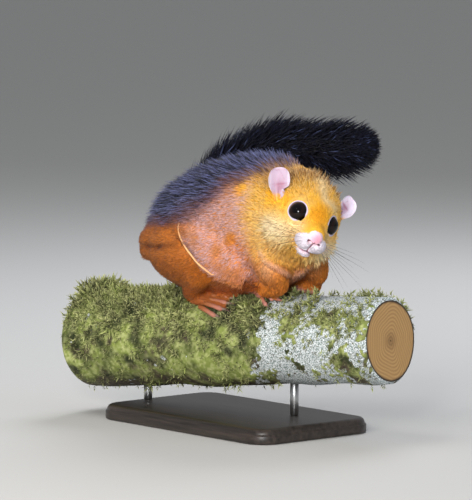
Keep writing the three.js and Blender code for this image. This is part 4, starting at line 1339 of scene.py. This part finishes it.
def aroundAxis(points, centre, ahead, upward, reach):
    # A cylinder unwrap: the angle round an axis, and the share of the length along it
    away = points - np.asarray(centre, float)
    ahead = unit(ahead)
    upward = unit(np.asarray(upward, float) - dot(np.asarray(upward, float), ahead) * ahead)
    left = np.cross(upward, ahead)
    angle = np.arctan2(away @ left, away @ upward) / (2 * math.pi) + 0.5
    return np.column_stack([angle, np.clip((away @ ahead) / (2 * reach) + 0.5, 0, 1)])


def intoCell(uv, cell):  # a unit square of the unwrap moved into its own part of the map
    low, size = np.array(cell[:2]), np.array(cell[2:])
    return low + (0.004 + 0.992 * uv) * size


bodyCells = {"rump": (0, 0.5, 0.5, 0.5), "chest": (0.5, 0.5, 0.5, 0.5), "neck": (0, 0, 0.4, 0.5)}


def bodyUnwrap(points, node):
    uv = np.zeros((len(points), 2))
    small = [name for name in bodyNodes if name not in bodyCells]
    for number, name in enumerate(bodyNodes):
        chosen = node == number
        if not chosen.any():
            continue
        low, high = (np.array(corner) * 1000 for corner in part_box(name))
        reach = (high - low) / 2
        longest = 0 if name in bodyCells else int(reach.argmax())
        ahead = np.eye(3)[longest]
        upward = (0, 0, -1) if longest != 2 else (1, 0, 0)
        if name in bodyCells:
            cell = bodyCells[name]
        else:
            place = small.index(name)
            cell = (0.4 + 0.15 * (place % 4), 0.1 * (place // 4), 0.15, 0.1)
        flat = aroundAxis(points[chosen], (low + high) / 2, ahead, upward, reach[longest] * 1.05)
        uv[chosen] = intoCell(flat, cell)
    return uv


tail = {
    "path": [  # over the perch
        *((-100, 4, 48), (-112, 26, 58), (-102, 50, 84), (-82, 64, 108)),
        *((-42, 80, 128), (10, 90, 132), (52, 98, 135), (78, 110, 139)),
    ],
    "thin": 14,
    "thick": 29,
    "core": 0.28,
    "tufts": 11800,
}


def tailPath(count):
    points = np.array(tail["path"], float) + (0, 0, branch["perchHeight"])
    return evenCurve(points, count)


def tailRadius(share):
    full = tail["thin"] + (tail["thick"] - tail["thin"]) * smoothStep(0, 0.35, share)
    return full * np.sqrt(np.clip(1 - (np.maximum(0, share - 0.86) / 0.15) ** 2, 0.0004, 1))


def tailCore(share):  # the radius under the hair, ending short of the last hairs
    end = np.sqrt(np.clip(1 - (np.maximum(0, share - 0.8) / 0.147) ** 2, 0.0004, 1))
    return tail["core"] * tailRadius(share) * end


def foldRolls(skinPoints, skinNormals):
    # A thin roll laid on the skin: a tube along a path put on the nearest skin, thin at both ends
    steps, sides = 60, 10
    share = np.linspace(0, 1, steps)
    pieces = []
    for side in (1, -1):
        wanted = evenCurve(mirrored(folds["edge"], side), steps)
        squares = (skinPoints**2).sum(axis=1)
        nearest = np.argmin(squares - 2 * wanted @ skinPoints.T, axis=1)
        path, normal = skinPoints[nearest], skinNormals[nearest]
        for _ in range(6):
            path[1:-1] = (path[:-2] + path[1:-1] + path[2:]) / 3
            normal[1:-1] = (normal[:-2] + normal[1:-1] + normal[2:]) / 3
        radii = 0.95 * np.sqrt(np.clip(np.sin(np.clip(share, 0.01, 0.99) * math.pi), 0.02, 1))
        path = path + unit(normal) * (0.3 + (2.6 - 1.7 * share) * np.sin(share * math.pi) ** 0.5)[:, None]
        tube = tubeAlong(path, radii, sides, upright=(0.2, 0.1, 1))
        paint = bodyColours(tube, np.full(len(tube), "chest"))
        fade = np.sqrt(np.sin(np.repeat(share, sides) * math.pi).clip(0))
        paint = mixed(paint, tone["foldEdge"], 0.65 * fade)
        pieces.append((tube, gridFaces(steps, sides), paint))
    return pieces


def toePaths(root, place, height):
    # The path of every toe over the perch from a root at a share of the paw, and if it is a hind toe
    paths = []
    for along, around, length, width, toes, wide, turn in paws.values():
        for number in range(toes):
            fan = number / (toes - 1) - 0.5
            start = around + 0.35 * turn + fan * 0.72 * width / branch["radius"]
            finish = around + turn + fan * wide / branch["radius"]
            reach = length * (0.56 - 0.5 * fan * fan) * (1 if toes == 5 else 0.72)
            path = overBranch(along + root * length + reach * place, start + (finish - start) * place, height)
            paths.append((path, toes == 5))
    return paths


def pawDigits():
    # Each digit: a tube along its arc over the perch, swollen at the knuckle and at the end pad
    steps, sides = 18, 14
    share = np.linspace(0, 1, steps)
    height = np.interp(share * 1.02, [0, 0.35, 0.62, 0.85, 1.02], [5.0, 6.4, 5.6, 4.6, 3.4])
    swell = 0.3 * np.exp(-(((share - 0.4) / 0.12) ** 2)) + 0.3 * np.exp(-(((share - 0.86) / 0.1) ** 2))
    blunt = np.sqrt(np.clip(1 - np.maximum(0, (share - 0.88) / 0.125) ** 2, 0.01, 1))
    blunt = blunt * np.sqrt(np.clip(1 - ((0.12 - share) / 0.125).clip(0) ** 2, 0.01, 1))
    pieces = []
    for path, hind in toePaths(0.2, share * 1.02, height):
        tube = tubeAlong(path, (swell + (2.1 if hind else 1.75)) * blunt, sides)
        bareness = smoothStep(0.25, 0.9, np.repeat(share, sides)) * (0.6 if hind else 0.9)
        paint = mixed(filled("foot", len(tube)), tone["hand"], bareness)
        pieces.append((tube, gridFaces(steps, sides), paint * (1 + 0.15 * cellNoise(tube, 2, 61)[:, None])))
    return pieces


def lidColours(points):  # pale towards the rim, with painted shade under the edge that lies on the eye
    row, column = np.divmod(np.arange(len(points)), eyes["sides"])
    angle = ringAngles(eyes["sides"])[column]
    rim = 4.5 - 2.4 * np.maximum(np.cos(angle + 0.15), 0) ** 2  # wider to the front, where it turns away
    colours = mixed(0.8 * headColours(points), tone["lid"], smoothStep(rim - 0.4, rim + 0.4, row))
    return mixed(colours, tone["nostril"] * 0.4, smoothStep(7.5, 8.6, row))


def earColours(points, side):  # darker in the hollow and veins, paler on the rim; the hollow and the line under the ledge are darkened in part as painted shade
    root, along, front, across = earFrame(side)
    climb, medial, deep = (points - root) @ along, (points - root) @ across * -side, (points - root) @ front
    hollow = np.exp(-(((climb - 13) / 7) ** 2)) * smoothStep(7, 1, np.abs(medial - 0.5))
    ledge = np.exp(-(((climb - 15.6 - 0.1 * medial) / 1.1) ** 2)) * smoothStep(-6, 0, medial)
    length, half = ears["length"][side], ears["width"][side] / 2
    edge = smoothStep(half - 3.4, half - 1, np.abs(medial)) + smoothStep(length - 2, length + 0.5, climb)
    veins = np.abs(cellNoise(points * (1, 1, 0.4), 3.6, 62)) < 0.06
    # the near ear painted darker as shade, the far ear paler as painted light
    colours = filled("ear" if side < 0 else "earFar", len(points))
    for name, share in (
        ("earInner", np.clip(0.75 * hollow + 0.5 * ledge, 0, 1)),
        ("earRim", 0.7 * np.clip(edge, 0, 1)),
        ("earInner", 0.35 * veins),
        ("earRoot", smoothStep(8, 1, climb - 0.6 * np.maximum(deep, 0))),
    ):
        colours = mixed(colours, tone[name], share)
    return colours


def underFur(colours, share):  # the paint's alpha says how much of the skin is furred
    return np.column_stack([colours, np.broadcast_to(share, len(colours))])


def addSkin():
    # One skin over the body, head, ears and tail, with the nodes' markings
    bodyPoints, bodyFaces, links, node, kinds, settings, meeting = bodySkin()
    headPoints, headFaces, headCaps, headSurface = headSkin(meeting)
    headPaint, bare = bareHeadColours(headSurface)
    parts = [(bodyPoints, underFur(bodyColours(bodyPoints, kinds), 1), bodyFaces)]
    parts.append((headToRow(headPoints), underFur(headPaint, 1 - bare), headFaces, headCaps))
    for tube, faces, paint in foldRolls(bodyPoints, vertexNormals(bodyPoints, bodyFaces)) + pawDigits():
        sides = faces[0, 3] - faces[0, 0]
        parts.append((tube, underFur(paint, 0.6), faces, fanned(endCaps(len(tube) // sides, sides))))
    for side in (-1, 1):
        lid, faces = lidRing(side)
        parts.append((headToRow(lid), underFur(lidColours(lid), 0.3), faces))
        ear, *faces = earShell(side)
        parts.append((headToRow(ear), underFur(earColours(ear, side), 0.4), *faces))
        flap, faces = tragus(side)
        parts.append((headToRow(flap), underFur(filled("ear", len(flap)), 0.4), faces))
    steps, sides, ending = 90, 28, 95
    core = tubeAlong(tailPath(ending)[:steps], tailCore(np.linspace(0, 1, ending)[:steps]), sides)
    paint = underFur(filled("tail", len(core)), 1)
    parts.append((core, paint, gridFaces(steps, sides), endCaps(steps, sides)))
    points, faces, paint = joined(parts)
    addMesh("furredSkin", points, faces, skinMaterial(), flesh, paint)
    print("skin", sum(len(group) * (group.shape[1] - 2) for group in faces), "triangles")
    return bodyPoints, bodyFaces, links, node, kinds, settings, headPoints, headFaces, headSurface


def addEyes():
    # Wet, very dark eyes: a ball turned the way the eye looks, brown iris round a black pupil
    material = paintedMaterial("wetEye", {"Roughness": 0.05, "IOR": 1.34})[0]
    rings, rounds = 48, eyes["sides"]
    polar = np.repeat(np.linspace(0.01, math.pi - 0.01, rings), rounds)[:, None]
    angle = np.tile(ringAngles(rounds), rings)[:, None]
    pupil, iris, edge = (hexToLinear(text) for text in ("#040203", "#170A07", "#060303"))
    for side, name in ((-1, "right"), (1, "left")):
        centre, axis, forward, upward = eyeFrame(side)
        around = np.cos(angle) * forward + np.sin(angle) * upward
        points = centre + eyes["radius"] * (np.cos(polar) * axis + np.sin(polar) * around)
        ring, _ = fromEye(points, side)
        colours = mixed(np.tile(pupil, (len(points), 1)), iris, smoothStep(3.8, 5, ring))
        colours = mixed(colours, edge, smoothStep(6.4, 7.6, ring))
        faces = [orient(points, gridFaces(rings, rounds), centre), endCaps(rings, rounds)[:, ::-1]]
        addMesh(f"eyeBall_{name}", headToRow(points), faces, material, [f"eye_{name}"], colours)


whiskers = {
    "rows": [  # forward, across and up on the head, the way out, and the length
        ((27.5, 10.5, -10.5), (0.25, 0.95, 0.15), 34),
        ((25.5, 12.0, -12.0), (0.05, 0.98, 0.05), 44),
        ((23.5, 13.2, -13.5), (-0.1, 0.98, -0.05), 52),
        ((28.0, 10.5, -13.0), (0.25, 0.95, -0.15), 36),
        ((26.0, 12.2, -14.5), (0.05, 0.96, -0.25), 46),
        ((24.0, 13.4, -16.0), (-0.15, 0.95, -0.3), 54),
        ((28.5, 9.8, -15.5), (0.25, 0.9, -0.4), 32),
        ((26.5, 11.8, -17.0), (0.05, 0.88, -0.48), 42),
        ((24.5, 12.8, -18.5), (-0.1, 0.85, -0.55), 48),
        ((29.0, 8.8, -17.5), (0.2, 0.75, -0.62), 28),
        ((13.0, 12.5, 14.5), (-0.35, 0.55, 0.75), 14),  # over the eye
        ((6.0, 26.0, -14.0), (-0.1, 0.97, -0.1), 22),  # on the cheek
    ],
    "radius": 0.17,
}


def addWhiskers():
    # Stiff tapering hairs: each a tube along a gently bent path, radius falling to nothing
    material = paintedMaterial("whiskerHair", {"Roughness": 0.35, "IOR": 1.55})[0]
    steps, sides = 14, 6
    share = np.linspace(0, 1, steps)[:, None]
    radii = whiskers["radius"] * (1 - 0.85 * share[:, 0])
    fade = np.repeat(smoothStep(0.02, 0.22, share), sides)
    parts = []
    for side, bend, shorter, shade in ((-1, 0.28, 0.92, "#5E3F1F"), (1, 0.22, 1, "#2B1D13")):
        paint = mixed(filled("muzzle", steps * sides) * 0.8, hexToLinear(shade), fade)
        for start, way, length in whiskers["rows"]:
            root = onHead(unit(mirrored(start, side) - insideHead)[None])[0]
            way = unit(mirrored(unit(way), side) + (0.3, 0, 0.02))
            path = share * way + share**2 * np.array([-0.75, 0, -0.25]) * bend
            path = root - 1.5 * way + length * shorter * path
            tube = tubeAlong(path, radii, sides, upright=(0.3, 0.1, 1))
            parts.append((tube, paint, gridFaces(steps, sides), endCaps(steps, sides)))
    points, faces, paint = joined(parts)
    addMesh("whiskers", headToRow(points), faces, material, colours=paint)


def addClaws():
    # Hooked horn claws: a tube along an arc over the perch, thick at the toe and sharp at the end
    material = paintedMaterial("clawHorn", {"Roughness": 0.38, "IOR": 1.54})[0]
    steps, sides = 12, 10
    grow = np.linspace(0, 1, steps)
    place = 0.88 + 0.36 * grow
    height = np.interp(place, [0.88, 1.0, 1.12, 1.24], [3.6, 4.3, 3.4, 0.6])
    horn, dark = hexToLinear("#8A7468"), hexToLinear("#2B211D")
    horn = mixed(np.tile(horn, (steps, 1)), dark, smoothStep(0.1, 0.9, grow))
    parts = []
    for path, hind in toePaths(0.25, place, height):
        tube = tubeAlong(path, (1.4 if hind else 1.05) * np.sqrt(1 - 0.94 * grow), sides)
        parts.append((tube, np.repeat(horn, sides, axis=0), gridFaces(steps, sides), endCaps(steps, sides)))
    points, faces, paint = joined(parts)
    addMesh("claws", points, faces, material, colours=paint)


def lieOfBody(points, kinds):
    # The way the hair lies: back and down over the trunk, down the limbs, forward on the feet
    y = points[:, 1:2]
    sideways = np.clip(y / 40, -1, 1)
    flow = np.tile([-1.0, 0, -0.3], (len(points), 1))
    flow[:, 1:2] += 0.15 * sideways
    rump = np.isin(kinds, ["rump", "thigh"])
    flow[rump] = [-0.9, 0, -0.55]
    for names, way in (
        (["shank"], (-0.85, 0.0, -0.5)),
        (["upper_arm"], (-0.25, 0, -1.0)),
        (["forearm"], (0.15, 0, -1.0)),
        (["hand", "foot"], tuple(branchAhead)),
        (["patagium"], (-0.85, 0, -0.5)),
        (["tail_skin"], (-0.9, 0, -0.45)),
    ):
        flow[np.isin(kinds, names)] = way
    flow[np.isin(kinds, ["neck"])] = [-0.8, 0, -0.45]
    inHead = rowToHead(points)
    near = smoothStep(66, 44, np.linalg.norm(inHead - (-6, 0, -4), axis=1))
    near = near * smoothStep(150, 165, points[:, 2])
    return mixed(flow, unit(inHead - noseTip) @ headAxes.T, near)


coatCounts = {"body": 84000, "head": 45000}


# How thickly each part is furred, against the trunk
coatShare = {"shank": 0.75, "forearm": 0.9, "hand": 0.6, "foot": 0.6, "patagium": 0.75, "tail_skin": 0.7}


def addBodyCoat(points, faces, links, node, kinds, settings):
    # Guard hair over trunk and limbs: silver on the back, with pale tips on the flank and pale golden tips on
    # the neck painted as sheen
    random = np.random.default_rng(11)
    normals = vertexNormals(points, faces)
    flow = spread(lieOfBody(points, kinds), links, 14)
    inHead = np.linalg.norm(rowToHead(points) - (-6, 0, -4), axis=1) < 25
    share = np.array([coatShare.get(kind, 1.0) for kind in coat])[[list(coat).index(kind) for kind in kinds]]
    buried = smoothStep(-6.5, -4, outsideHead(rowToHead(points)))
    density = share / np.maximum(settings[:, 1], 2.2) ** 0.6 * (kinds != "head") * ~inHead * buried
    root, normal, at = spreadRoots(points, faces, normals, density, coatCounts["body"], random)
    lie, (_, length, width, lift) = at(flow), at(settings).T
    nearest = node[nearestRows(root, points)]
    rootKinds = np.array([kindOf(name) for name in bodyNodes])[nearest]
    count = len(root)
    length = length * random.uniform(0.75, 1.2, count)
    colours = bodyColours(root, rootKinds)
    lightness = random.uniform(0.78, 1.2, (count, 1)) * (1 + 0.14 * cellNoise(root, 2.6, 71)[:, None])
    x, high = root[:, 0], root[:, 2] - branch["perchHeight"]
    over = smoothStep(-16, 4, backBorder(root))
    # where the flank's tufts get pale tips as painted sheen
    flank = smoothStep(76, 56, x) * smoothStep(14, 30, high) * (1 - over) ** 2
    flank = flank * smoothStep(4, -3, beyondFold(root))
    flank = flank * smoothStep(0.1, 0.5, 0.45 + 0.5 * cellNoise(root, 12, 72))
    pale = (random.random(count) < 0.85) * random.uniform(0.35, 1.0, count)
    # where the neck's tufts get pale golden tips as painted sheen
    golden = smoothStep(50, 80, x) * smoothStep(30, 50, high) * (1 - over)
    throat = throatTuft(root)
    silver = over * (random.random(count) < 0.3) * random.uniform(0.4, 1.0, count)
    silver = silver * (1 - 0.55 * smoothStep(14, 44, backBorder(root)))
    layers = [("flankTip", flank * pale), ("neckTip", 0.5 * golden * pale), ("throatTip", throat * pale)]
    layers.append(("backTip", silver))
    bent = np.maximum(np.maximum(*neckFold(root)), haunchGroove(root))  # the folds' hair is short
    length = length * (1 + 0.6 * throat) * (1 - 0.35 * smoothStep(9, 1, outsideHead(rowToHead(root))))
    lifted = 1 + 0.2 * over + 0.35 * silver + 0.6 * throat
    tufts = {
        "root": root,
        "normal": normal,
        "flow": lie + 0.16 * random.normal(size=(count, 3)),
        "length": length * (1 - 0.5 * bent) * (1 + 0.15 * silver),
        "width": width * random.uniform(0.7, 1.15, count) * (1 - 0.25 * silver),
        "lift": np.radians(lift) * random.uniform(0.7, 1.35, count) * lifted,
        "bend": random.normal(0, 0.08, count),
        "sunk": 0.35,
        "rootColour": colours * 0.72 * lightness,
        "tipColour": layered(np.clip(colours * 1.2 * lightness, 0, 1), layers),
        "uv": bodyUnwrap(root, nearest),
    }
    groups = {
        "coatRump": ["rump"],
        "coatChest": ["chest"],
        "coatNeck": ["neck", "head"],
        "coatLegs": ["thigh", "shank", "foot"],
        "coatArms": ["upper_arm", "forearm", "hand"],
        "coatGlidingSkin": ["patagium", "tail_skin"],
    }
    groups = [(name, np.isin(rootKinds, names)) for name, names in groups.items()]
    addCoats(tufts, groups, coatMaterial("guardHair", 0.5, 0.05), 2)


def nearestRows(places, points):
    # The skin point nearest each root, through a grid of cells as wide as the search
    cell = 4.0
    low = points.min(axis=0) - cell
    size = np.ceil((points.max(axis=0) - low) / cell).astype(int) + 2

    def cellOf(values):
        index = ((values - low) / cell).astype(int)
        return (index[:, 0] * size[1] + index[:, 1]) * size[2] + index[:, 2]

    owner = np.full(size.prod(), -1)
    owner[cellOf(points)] = np.arange(len(points))
    found = owner[cellOf(places)]
    missing = found < 0
    if missing.any():
        squares = (points**2).sum(axis=1)
        lost = np.flatnonzero(missing)
        for start in range(0, len(lost), 500):
            block = lost[start : start + 500]
            found[block] = np.argmin(squares - 2 * places[block] @ points.T, axis=1)
    return found


def headLengths(points):  # tuft length, width and lift over the head
    x, y, z = points.T
    length = 1.5 + 1.6 * smoothStep(29, 16, x) + 1.6 * smoothStep(12, -2, x) + 3.2 * smoothStep(-4, -26, x)
    cheeks = smoothStep(-4, -20, z) * smoothStep(24, 8, x) * smoothStep(5, 14, np.abs(y))
    jaw = smoothStep(-20, -30, z) * smoothStep(22, 12, x)
    length += 3.4 * cheeks + 3.4 * jaw
    for side in (-1, 1):
        ring, height = fromEye(points, side)
        near = smoothStep(15, 10, ring) * (height > -5)
        length = length * (1 - near) + 1.3 * near
        root, along, front, _ = earFrame(side)
        ruff = np.exp(-((np.linalg.norm(points - root - 4 * along, axis=1) / 9) ** 2))
        length = length + 4.0 * ruff * smoothStep(1, -3, (points - root) @ front)
    width = 0.42 + 0.07 * length
    lift = 18 + 2.1 * length + 8 * jaw
    return np.column_stack([length, width, lift])


def addHeadCoat(points, faces, surface):
    # Short hair over the face and lids: none at the lips, nostrils and eyes, and thin before the ears,
    # swept back from the nose and outwards round each eye
    random = np.random.default_rng(12)
    lids = [(lid, lid, lidFaces) for lid, lidFaces in (lidRing(-1), lidRing(1))]
    points, (faces,), surface = joined([(points, surface, faces), *lids])
    normals = vertexNormals(points, faces)
    settings = headLengths(points)
    flow = unit(points - noseTip)
    flow[:, 2] -= 0.35 * smoothStep(0, -20, points[:, 2]) * smoothStep(26, 10, points[:, 0])
    _, bare = bareHeadColours(surface)
    mouth, seam, *nostrils = faceLines(surface)
    allowed = (1 - bare) * smoothStep(1.5, 2.3, mouth) * smoothStep(0.8, 1.4, seam)
    for away in nostrils:
        allowed = allowed * smoothStep(0.9, 1.6, away)
    for side in (-1, 1):
        ring, height = fromEye(points, side)
        centre, axis, _, _ = eyeFrame(side)
        allowed = allowed * ((ring >= 10.1) | (height <= 0))
        outward = unit(points - centre - height[:, None] * axis)
        near = smoothStep(13.5, 9.5, ring) * (height > -4)
        flow = unit(flow * (1 - 0.55 * near[:, None]) + outward * 0.55 * near[:, None])
        root, along, front, _ = earFrame(side)
        before = smoothStep(-1, 3, (points - root) @ front)
        fromEar = np.linalg.norm(points - root - 4 * along, axis=1)
        allowed = allowed * (1 - (0.8 + 0.17 * before) * smoothStep(9 + 3 * before, 6 + 3 * before, fromEar))
    density = allowed / np.maximum(settings[:, 0], 1.4) ** 1.35
    root, normal, at = spreadRoots(points, faces, normals, density, coatCounts["head"], random)
    lie, (length, width, lift) = at(flow), at(settings).T
    count = len(root)
    x, _, z = root.T
    colours = headColours(root)
    lightness = random.uniform(0.84, 1.14, (count, 1)) * (1 + 0.08 * cellNoise(root, 2.2, 73)[:, None])
    directions = root - insideHead
    polar = np.arccos(np.clip(unit(directions) @ unit([1, 0, -0.07]), -1, 1)) / math.pi
    angle = np.arctan2(directions[:, 2], directions[:, 1])
    stray = (random.random(count) < 0.12) * smoothStep(24, 12, x)
    for side in (-1, 1):
        stray = stray * smoothStep(14, 20, np.linalg.norm(root - np.array(ears["root"][side]), axis=1))
    onCrown = smoothStep(8, -14, x) * smoothStep(8, 24, z)
    draw = random.random(count)
    tips = mixed(np.clip(colours * 1.12 * lightness, 0, 1), tone["crownTip"], onCrown * (draw < 0.25))
    stripe, _ = fromPolyline(root, np.array(face["stripe"], float))
    pale = np.maximum(0.7 * smoothStep(14, 2, x) * smoothStep(6, 22, z), np.exp(-((stripe / 6) ** 2)))
    tips = mixed(tips, tone["crownPale"], pale * (draw > 0.4) * random.uniform(0.4, 1.0, count))
    tufts = {
        "root": headToRow(root),
        "normal": normal @ headAxes.T,
        "flow": (lie + 0.14 * random.normal(size=(count, 3))) @ headAxes.T,
        "length": length * random.uniform(0.75, 1.2, count) * (1 + 0.5 * stray),
        "width": width * random.uniform(0.8, 1.2, count) * (1 - 0.3 * stray),
        "lift": np.radians(lift) * random.uniform(0.7, 1.3, count) * (1 + 0.7 * stray),
        "bend": random.normal(0, 0.08, count),
        "sunk": 0.15,
        "rootColour": colours * 0.93 * lightness,
        "tipColour": tips,
        "uv": 0.5 + 0.485 * polar[:, None] * np.column_stack([np.cos(angle), np.sin(angle)]),
    }
    cuts = np.quantile(x, [0.34, 0.67])
    third = np.searchsorted(cuts, x)
    groups = [(name, third == number) for number, name in enumerate(("coatCrown", "coatCheeks", "coatFace"))]
    addCoats(tufts, groups, coatMaterial("faceHair", 0.6, 0.03), 2)


def addTailCoat():
    # Long loose hair round the tail: each tuft leaves the core and sweeps back to the coat's reach
    random = np.random.default_rng(13)
    count = tail["tufts"]
    fine = 400
    path = tailPath(fine)
    share = np.linspace(0, 1, fine)
    weight = tailRadius(share) ** 0.8 + 2 + 14 * smoothStep(0.76, 0.9, share)
    place = np.interp(random.random(count), np.cumsum(weight) / weight.sum(), share)
    place = np.where(place > 0.94, 0.88 + (place - 0.94), place)
    whole = np.linalg.norm(np.diff(path, axis=0), axis=1).sum()
    angle = random.uniform(0, 2 * math.pi, count)
    ahead = unit(np.gradient(path, axis=0))
    side = unit(np.cross((0, 0, 1), ahead))
    rise = np.cross(ahead, side)

    def along(values):
        return np.stack([np.interp(place, share, values[:, axis]) for axis in range(3)], axis=1)

    outward = unit(np.cos(angle)[:, None] * along(side) + np.sin(angle)[:, None] * along(rise))
    core = tailCore(place)
    wanted = random.uniform(24, 42, count) * (0.6 + 0.4 * smoothStep(0.0, 0.3, place))
    tipPlace = np.minimum(place + 0.86 * wanted / whole, random.uniform(0.95, 1.0, count))
    onwards = np.maximum(tipPlace - place, 0.004) * whole
    stray = random.random(count) < 0.28
    droop = 1 + 0.2 * smoothStep(0.1, 0.9, -outward[:, 2]) * smoothStep(0.35, 0.7, place)
    inner = 0.62 - 0.55 * smoothStep(0.78, 0.9, place)
    out = tailRadius(tipPlace) * random.uniform(inner, 1.02 + 0.16 * stray, count) * droop - core
    out = np.maximum(out, 1.0)
    shade = random.random(count)
    colours = filled("tail", count) * random.uniform(0.8, 1.3, (count, 1))
    # a few tufts with pale bluish tips: painted glints of light
    shine = 0.7 * (random.random(count) < 0.05)
    tufts = {
        "root": along(path) + outward * core[:, None],
        "normal": outward,
        "flow": unit(along(ahead) + 0.1 * random.normal(size=(count, 3))),
        "length": np.hypot(onwards, out),
        "width": random.uniform(1.0, 2.0, count),
        "lift": np.arctan2(out, onwards),
        "bend": random.normal(0, 0.1, count),
        "sunk": 0.8,
        "rootColour": colours,
        "tipColour": layered(colours, [("tailTip", shade * 0.7), ("tailShine", shine)]),
        "uv": np.column_stack([0.01 + 0.98 * angle / (2 * math.pi), 0.01 + 0.98 * place]),
    }
    tipHalf = place > np.median(place)
    groups = (("coatTailRoot", ~tipHalf), ("coatTailTip", tipHalf))
    addCoats(tufts, groups, coatMaterial("tailHair", 0.55, 0.03), 3)


skinParts = addSkin()
addEyes()
addWhiskers()
addClaws()
print("skin, eyes, whiskers and claws ready")
addBodyCoat(*skinParts[:6])
addHeadCoat(*skinParts[6:])
addTailCoat()
print("coat ready")
